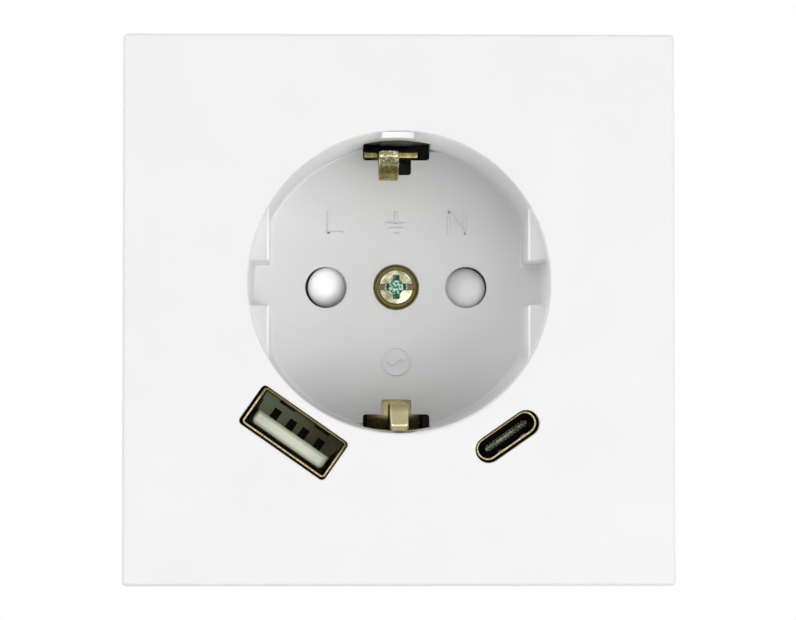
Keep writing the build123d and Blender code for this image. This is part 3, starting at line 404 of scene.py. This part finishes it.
# Springs: the hairpin that brings the shutter back and the leaf springs of the terminals, in bright
# drawn and rolled spring steel, each bent to shape and held by its own tension.
spring_steel, at, shader = new_finish("spring_steel")
lines = at.noise(0.1 * mm, detail=3, stretch=(1, 0.08, 0.08))
at.fill(shader, {
    "Base Color": lines.step(0.3, 0.7).between((0.5, 0.51, 0.53), (0.62, 0.63, 0.65)),
    "Metallic": 1.0,
    "Roughness": 0.24 + 0.14 * lines,
    "Normal": relief(lines, strength=0.1, depth=0.03 * mm),
})
for node in ("shutter_spring", "line_clamp", "neutral_clamp", "earth_clamp"):
    finish_node(node, spring_steel, "spring_steel")

# Release buttons of the three terminals: light grey mouldings with a slot for a blade, which slide in
# the back of the housing and push the leaf springs open.
button_grey, at, shader = new_finish("button_grey")
speck = at.noise(0.2 * mm, detail=3)
at.fill(shader, {
    "Base Color": at.noise(2 * mm).step(0.3, 0.7).between((0.36, 0.37, 0.38), (0.43, 0.44, 0.45)),
    "Roughness": 0.38 + 0.16 * speck,
    "Normal": relief(speck, strength=0.12, depth=0.05 * mm, round_edge=0.15 * mm),
})
for pole in ("line", "neutral", "earth"):
    finish_node(f"{pole}_release", button_grey, "grey_button", f"{pole}_button", edge=0.1 * mm)

# Circuit boards: glass laminate under green solder mask, with copper runs that show as raised lines,
# cut to the round of the housing and carried on its posts.
board_green, at, shader = new_finish("board_green")
runs = at.node("ShaderNodeTexBrick", {"offset": 0.5}, {
    "Vector": at.node("ShaderNodeMapping", {}, {"Vector": at, "Rotation": (pi / 2, 0, 0)}),
    "Scale": 1 / (2.5 * mm),
    "Mortar Size": 0.08,
    "Brick Width": 1.6,
}, output="Fac")
at.fill(shader, {
    "Base Color": runs.between((0.012, 0.11, 0.045), (0.03, 0.2, 0.08)),
    "Roughness": 0.35 + 0.1 * at.noise(0.5 * mm),
    "Normal": relief(runs, strength=0.3, depth=0.04 * mm),
})
for node in ("port_board", "power_board"):
    finish_node(node, board_green, "green_board")

# Transformer of the charger: a grey ferrite core with a wound coil on its middle leg, wrapped in
# yellow tape and soldered to the power board.
ferrite, at, shader = new_finish("ferrite")
speck = at.noise(0.25 * mm, detail=3)
at.fill(shader, {
    "Base Color": speck.between((0.05, 0.05, 0.052), (0.1, 0.1, 0.102)),
    "Roughness": 0.55 + 0.2 * speck,
    "Normal": relief(speck, strength=0.3, depth=0.06 * mm, round_edge=0.2 * mm),
})
finish_node("transformer_core", ferrite, "ferrite", edge=0.2 * mm)
tape, at, shader = new_finish("winding_tape")
turns_of_tape = {"Vector": at, "Scale": 180.0, "Distortion": 0.6}
layers = at.node("ShaderNodeTexWave", {"bands_direction": "Y"}, turns_of_tape)
at.fill(shader, {
    "Base Color": layers.between((0.55, 0.38, 0.05), (0.75, 0.58, 0.12)),
    "Roughness": 0.3 + 0.1 * layers,
    "Normal": relief(layers, strength=0.4, depth=0.08 * mm, round_edge=0.2 * mm),
})
finish_node("transformer_winding", tape, "yellow_tape")

# Capacitors: rolled aluminium cans in dark blue shrink sleeves, standing on the power board on both
# sides of the transformer and below it.
sleeve, at, shader = new_finish("can_sleeve")
wrinkle = at.noise(1 * mm, detail=3, stretch=(1, 0.3, 1))
at.fill(shader, {
    "Base Color": wrinkle.between((0.02, 0.03, 0.09), (0.05, 0.07, 0.16)),
    "Roughness": 0.25 + 0.1 * wrinkle,
    "Normal": relief(wrinkle, strength=0.2, depth=0.1 * mm),
})
for node in ("input_capacitors", "output_capacitor"):
    finish_node(node, sleeve, "can_sleeve", edge=0.4 * mm)

# Rectifier, fuse and controller chips: black moulded bodies of the charger, soldered flat on the
# power board.
black, at, shader = new_finish("black_moulding")
speck = at.noise(0.15 * mm, detail=3)
at.fill(shader, {
    "Base Color": speck.between((0.012, 0.012, 0.012), (0.024, 0.024, 0.023)),
    "Roughness": 0.4 + 0.2 * speck,
    "Normal": relief(speck, strength=0.2, depth=0.05 * mm, round_edge=0.1 * mm),
})
for node in ("rectifier", "fuse", "controller_chips"):
    finish_node(node, black, "black_plastic", edge=0.15 * mm)

# Wire links from the pin contacts to the charger board: bare drawn copper, bent to a hook and
# soldered at both ends.
copper, at, shader = new_finish("bare_copper")
drawn = at.noise(0.3 * mm)
at.fill(shader, {
    "Base Color": drawn.between((0.62, 0.27, 0.13), (0.75, 0.38, 0.22)),
    "Metallic": 1.0,
    "Roughness": 0.25 + 0.15 * drawn,
})
for node in ("line_lead", "neutral_lead"):
    finish_node(node, copper, "copper_wire")

# Shells of both receptacles: folded and drawn from plated sheet, with a painted highlight on the rolled
# front edge, strongest on its side away from the well, and painted shade on the sides that darkens
# inside.
well_z = 3.6 * mm
port_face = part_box("usb_a_shell")[0].y
shell, at, shader = new_finish("plated_shell")
scratch = at.noise(0.2 * mm, detail=3)
ridges = scratch.step(0.36, 0.64)
behind = at.along("Y") - port_face
# Painted highlight on the front edge, brighter on its side away from the well, and painted shade on the
# sides, darker further inside.
edge_highlight = behind.step(0.02 * mm, 0.002 * mm)
inner_shade = behind.step(0.2 * mm, 1.2 * mm)
outer_side_light = at.away_from(0, well_z).step(22.9 * mm, 24.2 * mm)
shaded_rim_tint = ridges.between((0.08, 0.055, 0.02), (0.3, 0.22, 0.09))
lit_rim_tint = ridges.between((0.3, 0.22, 0.08), (0.88, 0.76, 0.46))
side_shade_tint = inner_shade.between((0.26, 0.2, 0.1), (0.06, 0.055, 0.04))
at.fill(shader, {
    "Base Color": edge_highlight.between(side_shade_tint, outer_side_light.between(shaded_rim_tint, lit_rim_tint)),
    "Metallic": 1.0,
    "Roughness": 0.26 + 0.14 * scratch,
    "Normal": relief(scratch, strength=0.1, depth=0.04 * mm),
})
for node in ("usb_a_shell", "usb_c_shell"):
    finish_node(node, shell, "gold_shell", edge=0.12 * mm)

# Insulator of the USB-A receptacle: a pale moulding with a bevelled tongue. Painted shade darkens the
# border of the tongue's face and, with depth, its sides and the back wall, which is painted lighter to
# the left, and the contact slots are painted black as shade.
port_turn = radians(35)
tongue_reach = 25.03 * mm
tongue_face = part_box("usb_a_insulator")[0].y
ivory, at, shader = new_finish("ivory_insulator")
cloud = at.noise(1.2 * mm)
across = at.along("X")
behind = at.along("Y") - tongue_face
over = at.along("Z") - well_z
outward = across * -sin(port_turn) - over * cos(port_turn)
sideways = across * cos(port_turn) - over * sin(port_turn)
# Painted shade: the tongue's face is darker on its border round a middle strip.
strip = abs(outward - tongue_reach).step(0.58 * mm, 0.46 * mm) * abs(sideways).step(5.2 * mm, 5.05 * mm)
front_tint = cloud.between((0.66, 0.72, 0.58), (0.74, 0.79, 0.66))
border_shade_tint = strip.between((0.5, 0.52, 0.39), front_tint)
bevel_tint = behind.step(0.02 * mm, 0.06 * mm).between(border_shade_tint, (0.74, 0.76, 0.58))
# Painted shade on the sides and back wall, darker with depth and lighter to the left, and painted black
# in the contact slots.
lit_side = across.step(-10.0 * mm, -18.0 * mm)
back_wall_shade_tint = lit_side.between((0.5, 0.5, 0.3), (0.58, 0.7, 0.48))
wall_painted_light = behind.step(1.0 * mm, 7.5 * mm).between(bevel_tint, back_wall_shade_tint)
at.fill(shader, {
    "Base Color": behind.step(8.9 * mm, 9.3 * mm).between(wall_painted_light, (0.004, 0.004, 0.003)),
    "Roughness": 0.3 + 0.1 * cloud,
    "Specular IOR Level": 0.15,
    "Normal": relief(at.noise(0.2 * mm), strength=0.06, depth=0.04 * mm, round_edge=0.12 * mm),
})
finish_node("usb_a_insulator", ivory, "ivory_plastic")

# Insulator of the USB-C receptacle: a black moulding whose thin tongue, seen end on, is grey-green
# and mottled between its two rows of contacts.
leaf_low, leaf_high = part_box("usb_c_insulator")
leaf_black, at, shader = new_finish("leaf_moulding")
speck = at.noise(0.15 * mm, detail=3)
behind = at.along("Y") - leaf_low.y
right = at.along("X") - (leaf_low.x + leaf_high.x) / 2
over = at.along("Z") - (leaf_low.z + leaf_high.z) / 2
off_middle = abs(over * cos(port_turn) - right * sin(port_turn))
leaf_edge = off_middle.step(0.22 * mm, 0.15 * mm) * behind.step(0.4 * mm, 0.05 * mm)
mottle = at.noise(0.3 * mm).step(0.38, 0.62)
leaf_tint = mottle.between((0.06, 0.08, 0.055), (0.28, 0.34, 0.25))
at.fill(shader, {
    "Base Color": leaf_edge.between((0.008, 0.008, 0.007), leaf_tint),
    "Roughness": 0.4 + 0.2 * speck,
    "Specular IOR Level": 0.2,
    "Normal": relief(speck, strength=0.2, depth=0.05 * mm),
})
finish_node("usb_c_insulator", leaf_black, "black_plastic")

# Contacts of both receptacles and the pin row between the boards: stamped strip under a thin layer of
# gold, pressed into the insulators and soldered to the boards.
gold, at, shader = new_finish("gold_contact")
worn = at.noise(0.4 * mm)
at.fill(shader, {
    "Base Color": worn.between((0.42, 0.3, 0.1), (0.62, 0.47, 0.18)),
    "Metallic": 1.0,
    "Roughness": 0.2 + 0.12 * worn,
})
for node in ("usb_a_contacts", "usb_c_contacts", "board_pins"):
    finish_node(node, gold, "gold_contact")

# Rear housing: a cup of dark moulded plastic, deeper over the charger, that closes the back and
# leaves holes for the wires and the release buttons.
finish_node("rear_housing", dark, "dark_plastic")

# Terminal signs: raised strokes moulded on the back of the housing above the wire holes, one plain
# sign for each pole, readable from behind.
sign_strokes = {
    "line": [[(-0.3, 0.5), (-0.3, -0.5)], [(-0.38, -0.43), (0.35, -0.43)]],
    "neutral": [[(-0.35, 0.5), (-0.35, -0.5)], [(0.35, 0.5), (0.35, -0.5)], [(-0.35, 0.5), (0.35, -0.5)]],
    "earth": [
        [(0.0, 0.5), (0.0, -0.05)],
        [(-0.45, -0.05), (0.45, -0.05)],
        [(-0.29, -0.27), (0.29, -0.27)],
        [(-0.13, -0.49), (0.13, -0.49)],
    ],
}


def sign_grids(sign, x, z, size, turned, stroke, foot, crest):
    """Strips of a sign's strokes, their points scaled by a size about a middle point at x and z.

    A sign that is read from behind is turned, with its points mirrored from right to left.
    """
    scale = np.array((turned * size, size))
    paths = (np.array((x, z)) + scale * np.array(path) for path in sign_strokes[sign])
    return [strip_grid(path, stroke, foot, crest) for path in paths]


rear_size = 2.0 * mm
rear_stroke = 0.36 * mm
housing_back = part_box("line_release")[1].y - 0.6 * mm
sign_foot = housing_back - 0.1 * mm
sign_crest = housing_back + 0.18 * mm
rear_signs = []
for sign, above in (("line", 7.2 * mm), ("neutral", 7.2 * mm), ("earth", 6.4 * mm)):
    low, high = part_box(f"{sign}_release")
    sign_x = (low.x + high.x) / 2
    sign_z = high.z + above
    rear_signs += sign_grids(sign, sign_x, sign_z, rear_size, -1, rear_stroke, sign_foot, sign_crest)
add_piece("terminal_signs", grid_mesh("terminal_signs", *rear_signs), dark, "dark_plastic", "socket")

# Housing screws: two zinc-plated cross-head screws with rolled threads, turned through the back of the
# housing into the posts of the base.


def recess(across, up, half, reach, sink):
    """Depth of a cross recess: two arms of a half width that sink from their reach to the middle."""
    soft = 0.07 * mm
    flat = np.clip((half - np.abs(up)) / soft + 0.5, 0, 1)
    tall = np.clip((half - np.abs(across)) / soft + 0.5, 0, 1)
    slope_flat = np.clip(2 - 2 * np.abs(across) / reach, 0, 1)
    slope_tall = np.clip(2 - 2 * np.abs(up) / reach, 0, 1)
    return sink * np.maximum(flat * slope_flat, tall * slope_tall)


def thread_rows(shank, pitch, start, end, turn, rows):
    """Radius and depth of a threaded shank by rows along it and columns round it.

    A ridge rises and falls once a pitch and runs round with the angle, the last two pitches draw in,
    and the last row closes to a point at the tip.
    """
    depth = np.linspace(start, end, rows)[:, None] + np.zeros(turn.size)
    ridge = np.abs(2 * ((depth / pitch - turn / (2 * pi)) % 1) - 1)
    taper = np.clip(0.6 + 0.2 * np.abs(end - depth) / pitch, 0.6, 1)
    radius = shank * (1 - 0.15 * ridge) * taper
    tip = np.zeros((1, turn.size))
    return np.vstack((radius, tip)), np.vstack((depth, tip + end))


screws_low, screws_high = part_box("housing_screws")
head_radius = 2.2 * mm
head_drop = 0.55 * mm
head_seat = screws_high.y - 1.5 * mm
screw_z = (screws_low.z + screws_high.z) / 2
turn = np.linspace(0, 2 * pi, 96, endpoint=False)
reach = head_radius * np.sin(np.linspace(0, pi / 2, 40))[:, None] + np.zeros(turn.size)
across = reach * np.cos(turn)
up = reach * np.sin(turn)
cross = recess(across, up, half=0.3 * mm, reach=1.3 * mm, sink=0.9 * mm)
dome = screws_high.y - head_drop * (reach / head_radius) ** 4 - cross
shank_radius, shank_depth = thread_rows(1.1 * mm, 0.7 * mm, head_seat, screws_low.y, turn, rows=110)
radius = np.vstack((reach, np.full((1, turn.size), head_radius), shank_radius))
depth = np.vstack((dome, np.full((1, turn.size), head_seat), shank_depth))
screw_places = (screws_low.x + head_radius, screws_high.x - head_radius)
screw_grids = [turned_grid(screw_x, screw_z, radius, depth) for screw_x in screw_places]
screw_mesh = grid_mesh("housing_screws", *screw_grids)
add_piece("housing_screws_finished", screw_mesh, zinc, "zinc_steel", "socket", "housing_screws")

# Cover: plate, skirt and plug well in one smooth white moulding, held by the screw in its middle and
# open round the charging ports and the earth fingers. Painted shade greys the walls of the well, the
# lug faces and the bottom edge, painted light and shade vary the floor of the well, painted highlights
# pale the lug edges, and the small slope above the upper finger glows with painted light.
cover_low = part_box("cover_plate")[0]
well_floor = cover_low.y + 17.5 * mm
lug_level = cover_low.y + 3.0 * mm
lug_x = 17.0 * mm
white, at, shader = new_finish("white_cover")
speck = at.noise(0.16 * mm)
pores = at.noise(0.7 * mm, detail=3)
across = at.along("X")
depth = at.along("Y")
height = at.along("Z")
aside = abs(across)
off_axis = at.away_from(0, well_z)
plain = at.noise(12 * mm).step(0.3, 0.7).between((0.815, 0.818, 0.818), (0.835, 0.836, 0.836))

# Painted shade on the walls of the well: a little greyer on the upper wall, much darker on the lower one.
in_well = off_axis.step(21.0 * mm, 20.6 * mm) * depth.step(-10.4 * mm, -8.0 * mm)
upper_wall = in_well * height.step(0, 8 * mm)
lower_wall = in_well * height.step(-4 * mm, -16 * mm)
wall_painted_light = lower_wall.between(upper_wall.between(plain, (0.745, 0.746, 0.746)), (0.5, 0.5, 0.5))

# Painted shade on the lug faces, darker on the right lug, and a painted highlight along their inner
# edges.
lug_face = depth.within(lug_level - 0.1 * mm, lug_level + 0.1 * mm, rise=0.07 * mm, fall=0.07 * mm)
lug_face = lug_face * aside.step(lug_x + 0.25 * mm, lug_x + 0.35 * mm)
lug_face = lug_face * off_axis.step(19.66 * mm, 19.6 * mm)
lug_shade_tint = across.step(-1 * mm, 1 * mm).between((0.755, 0.756, 0.756), (0.72, 0.72, 0.72))
lug_edge_highlight = depth.within(lug_level - 0.2 * mm, lug_level + 0.28 * mm, rise=0.1 * mm, fall=0.1 * mm)
lug_edge_highlight = lug_edge_highlight * aside.within(lug_x - 0.1 * mm, lug_x + 0.3 * mm, rise=0.05 * mm, fall=0.1 * mm)
wall_painted_light = lug_edge_highlight.between(lug_face.between(wall_painted_light, lug_shade_tint), (0.97, 0.97, 0.97))

# Painted light and shade on the floor of the well: lighter in the middle and to the left, darker to the
# right and up and down from its middle height.
floor_light_slope = 4.4
floor_light_bow = 930.0
floor_light_z = 3.5 * mm
over = height - floor_light_z
floor_painted_light = at.maths("MINIMUM", 0.948 - floor_light_slope * across - floor_light_bow * over * over, 0.93)
low_in_well = depth.step(well_floor - 2.5 * mm, well_floor - 0.2 * mm)
# Painted shade along the bottom edge of the plate, and a painted glow on the slope above the upper
# finger.
foot = height.step(-35.5 * mm, -35.8 * mm)
painted_glow_slope = depth.within(-3.95 * mm, -2.95 * mm, rise=0.2 * mm, fall=0.15 * mm)
painted_glow_slope = painted_glow_slope * aside.step(2.25 * mm, 2.15 * mm)
painted_glow_slope = painted_glow_slope * height.within(22.4 * mm, 24.4 * mm, rise=0.2 * mm, fall=0.2 * mm)
at.fill(shader, {
    "Base Color": foot.between(low_in_well.between(wall_painted_light, floor_painted_light), (0.7, 0.7, 0.695)),
    "Emission Color": (0.3 * painted_glow_slope).between((0, 0, 0), (1, 1, 1)),
    "Emission Strength": 1.0,
    "Roughness": 0.36 + 0.1 * speck + 0.05 * pores,
    "Normal": relief(speck + 0.5 * pores, strength=0.05, depth=0.03 * mm, round_edge=0.08 * mm),
})
finish_node("cover_plate", white, "white_cover")

# Signs on the floor of the well: plain raised strokes of the cover's own plastic, the three poles above
# the screw and a wave in a ring below it.
floor_foot = well_floor + 0.05 * mm
floor_crest = well_floor - 0.2 * mm
stroke = 0.42 * mm
pole_x = 8.2 * mm
pole_z = 12.3 * mm
pole_size = 3.1 * mm
floor_signs = []
for sign, sign_x in (("line", -pole_x), ("earth", 0.0), ("neutral", pole_x)):
    floor_signs += sign_grids(sign, sign_x, pole_z, pole_size, 1, stroke, floor_foot, floor_crest)
wave_z = -6.4 * mm
wave_reach = 1.15 * mm
wave_rise = 0.42 * mm
wave_x = np.linspace(-wave_reach, wave_reach, 33)
wave_path = np.stack((wave_x, wave_z + wave_rise * np.sin(pi * wave_x / wave_reach)), axis=1)
floor_signs.append(strip_grid(wave_path, stroke, floor_foot, floor_crest))
ring_radius = 1.85 * mm
ring_width = 0.3 * mm
ring_turn = np.linspace(0, 2 * pi, 96, endpoint=False)
ring_path = ring_radius * np.stack((np.cos(ring_turn), np.sin(ring_turn)), axis=1) + np.array((0, wave_z))
ring_grid = strip_grid(ring_path, ring_width, floor_foot, floor_crest, loop=True)
ring_mesh = grid_mesh("sign_ring", ring_grid, loop=True)
signs_mesh = join_meshes("floor_signs", grid_mesh("sign_strokes", *floor_signs), ring_mesh)
add_piece("floor_signs", signs_mesh, white, "white_cover", "socket")

# Cover screw: yellow-passivated steel with a raised head, a slot and a cross recess that shows the
# green of the film, and a rolled thread turned into the nut behind the deck.
screw_low, screw_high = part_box("cover_screw")
screw_x = (screw_low.x + screw_high.x) / 2
screw_z = (screw_low.z + screw_high.z) / 2
head_radius = (screw_high.x - screw_low.x) / 2
head_seat = screw_low.y + 2.0 * mm
dome_radius = 2.28 * mm
crown_drop = 0.42 * mm
shoulder_drop = 1.0 * mm
slot_half = 0.4 * mm
slot_reach = 2.6 * mm
slot_sink = 0.7 * mm
diamond_reach = 1.5 * mm
diamond_sink = 1.2 * mm
turn = np.linspace(0, 2 * pi, 256, endpoint=False)
reach = head_radius * np.linspace(0, 1, 90)[:, None] + np.zeros(turn.size)
across = reach * np.cos(turn)
up = reach * np.sin(turn)
crown = crown_drop * np.minimum(reach / dome_radius, 1) ** 2
shoulder = shoulder_drop * np.clip((reach - dome_radius) / (head_radius - dome_radius), 0, 1) ** 0.9
slot_end = np.clip((slot_reach - np.abs(across)) / (0.1 * mm), 0, 1)
slot = slot_sink * slot_end * np.clip((slot_half - np.abs(up)) / (0.07 * mm) + 0.5, 0, 1)
cross = recess(across, up, half=0.42 * mm, reach=1.8 * mm, sink=1.4 * mm)
diamond = (diamond_reach - 1.15 * np.abs(across) - 0.9 * np.abs(up)) / (0.7 * mm)
sunk = np.maximum.reduce((crown + shoulder, slot, cross, diamond_sink * np.clip(diamond, 0, 1)))
shank_radius, shank_depth = thread_rows(1.5 * mm, 0.5 * mm, head_seat, screw_high.y, turn, rows=130)
radius = np.vstack((reach, np.full((1, turn.size), head_radius), shank_radius))
depth = np.vstack((screw_low.y + sunk, np.full((1, turn.size), head_seat), shank_depth))
screw_mesh = grid_mesh("cover_screw", turned_grid(screw_x, screw_z, radius, depth), sharp=50)

screw_metal, at, shader = new_finish("passivated_screw")
film = at.noise(0.3 * mm, detail=3)
flake = at.noise(0.9 * mm, offset=0.7)
out = at.away_from(screw_x, screw_z)
below = at.along("Y") - screw_low.y
beside = abs(at.along("X") - screw_x)
aside = abs(at.along("Z") - screw_z)
slot_floor = beside.within(1.35 * mm, slot_reach, rise=0.25 * mm, fall=0.1 * mm)
slot_floor = slot_floor * aside.step(0.42 * mm, 0.36 * mm)
splash = flake.step(0.5, 0.58) * out.step(1.9 * mm, 1.3 * mm)
wet = at.maths("MAXIMUM", below.step(0.5 * mm, 0.7 * mm), 0.7 * splash)
green = film.step(0.4, 0.6).between((0.015, 0.2, 0.165), (0.6, 0.76, 0.64))
olive = flake.step(0.35, 0.65).between((0.36, 0.355, 0.19), (0.7, 0.7, 0.53))
# Painted shade: the shoulder of the head is painted darker, with a painted dark line where it meets the
# dome.
shadow_line = out.within(2.16 * mm, 2.46 * mm, rise=0.1 * mm, fall=0.12 * mm)
shoulder_shade_tint = film.between((0.22, 0.175, 0.045), (0.4, 0.33, 0.1))
shoulder_shade_tint = (0.8 * shadow_line).between(shoulder_shade_tint, (0.03, 0.025, 0.01))
face_tint = out.step(2.2 * mm, 2.3 * mm).between(wet.between(olive, green), shoulder_shade_tint)
at.fill(shader, {
    "Base Color": slot_floor.between(face_tint, film.between((0.13, 0.085, 0.05), (0.27, 0.18, 0.12))),
    "Metallic": 1.0,
    "Roughness": 0.16 + 0.12 * film,
    "Normal": relief(film, strength=0.2, depth=0.06 * mm),
})
add_piece("cover_screw_finished", screw_mesh, screw_metal, "screw_brass", "socket", "cover_screw")

# Studio: a pale floor well below the socket, an even white surround, four large soft lamps round the
# socket and a fifth nearer the camera, low and to the right.
face_y = cover_low.y
floor_drop = 0.75
floor_reach = 6.0
floor_z = cover_low.z - floor_drop
floor_points = [
    (-floor_reach, -floor_reach, floor_z),
    (-floor_reach, floor_reach, floor_z),
    (floor_reach, floor_reach, floor_z),
    (floor_reach, -floor_reach, floor_z),
]
stage_mesh = bpy.data.meshes.new("floor")
stage_mesh.from_pydata(floor_points, [], [(3, 2, 1, 0)])
pale, at, shader = new_finish("pale_floor")
at.fill(shader, {
    "Base Color": at.noise(0.3).between((0.81, 0.81, 0.81), (0.83, 0.83, 0.83)),
    "Roughness": 0.7,
})


def clear_view(shade):
    """1 on camera, glossy and transmission rays, 0 on the rays that light the object."""
    names = ("Is Camera Ray", "Is Glossy Ray", "Is Transmission Ray")
    camera_ray, glossy_ray, clear_ray = (shade.node("ShaderNodeLightPath", output=name) for name in names)
    return shade.maths("MAXIMUM", shade.maths("MAXIMUM", camera_ray, glossy_ray), clear_ray)


floor_clear = 0.93
glow = at.node("ShaderNodeEmission", {}, {"Color": (1, 1, 1, 1), "Strength": 1.0})
lit = Shade(at.tree, shader.outputs[0])
mixed = at.node("ShaderNodeMixShader", {}, {0: clear_view(at) * floor_clear, 1: lit, 2: glow})
at.tree.links.new(mixed.socket, at.tree.nodes["Material Output"].inputs["Surface"])
stage_mesh.materials.append(pale)
stage_floor = bpy.data.objects.new("floor", stage_mesh)
bpy.context.scene.collection.objects.link(stage_floor)

surround_light = 0.39
world = bpy.data.worlds.new("studio")
world.use_nodes = True
bpy.context.scene.world = world
sky = Shade(world.node_tree)
light = sky.node("ShaderNodeBackground", {}, {"Color": (1, 1, 1, 1), "Strength": surround_light})
white_out = sky.node("ShaderNodeBackground", {}, {"Color": (1, 1, 1, 1), "Strength": 1.0})
surround = sky.node("ShaderNodeMixShader", {}, {0: clear_view(sky), 1: light, 2: white_out})
world.node_tree.links.new(surround.socket, world.node_tree.nodes["World Output"].inputs["Surface"])

lamp_side = 0.5
lamp_reach = 0.9


def add_lamp(name, clock, off_axis, power):
    """A soft square lamp at a clock angle round the socket's axis and an angle off that axis."""
    lamp = bpy.data.lights.new(name, "AREA")
    lamp.size = lamp_side
    lamp.energy = power
    out = sin(radians(off_axis))
    way = Vector((out * sin(radians(clock)), -cos(radians(off_axis)), out * cos(radians(clock))))
    holder = bpy.data.objects.new(name, lamp)
    holder.location = Vector((0, face_y, 0)) + lamp_reach * way
    holder.rotation_euler = (-way).to_track_quat("-Z", "Y").to_euler()
    bpy.context.scene.collection.objects.link(holder)


add_lamp("upper_right", clock=45, off_axis=62, power=1.9)
add_lamp("lower_right", clock=135, off_axis=62, power=2.5)
add_lamp("lower_left", clock=225, off_axis=62, power=1.7)
add_lamp("upper_left", clock=315, off_axis=62, power=3.2)
add_lamp("key", clock=135, off_axis=35, power=1.8)

# Camera: a long lens turned square to the cover, from a little left of its middle and below it, so
# that the right wall and the upper wall of the well show.
camera_data = bpy.data.cameras.new("camera")
camera_data.sensor_width = 36.0
camera_data.lens = 157.8
camera = bpy.data.objects.new("camera", camera_data)
aim = Vector((-0.17 * mm, face_y, -0.09 * mm))
camera.location = aim + Vector((-11.0, -454.0, -15.7)) * mm
camera.rotation_euler = (aim - camera.location).to_track_quat("-Z", "Y").to_euler()
bpy.context.scene.collection.objects.link(camera)
bpy.context.scene.camera = camera
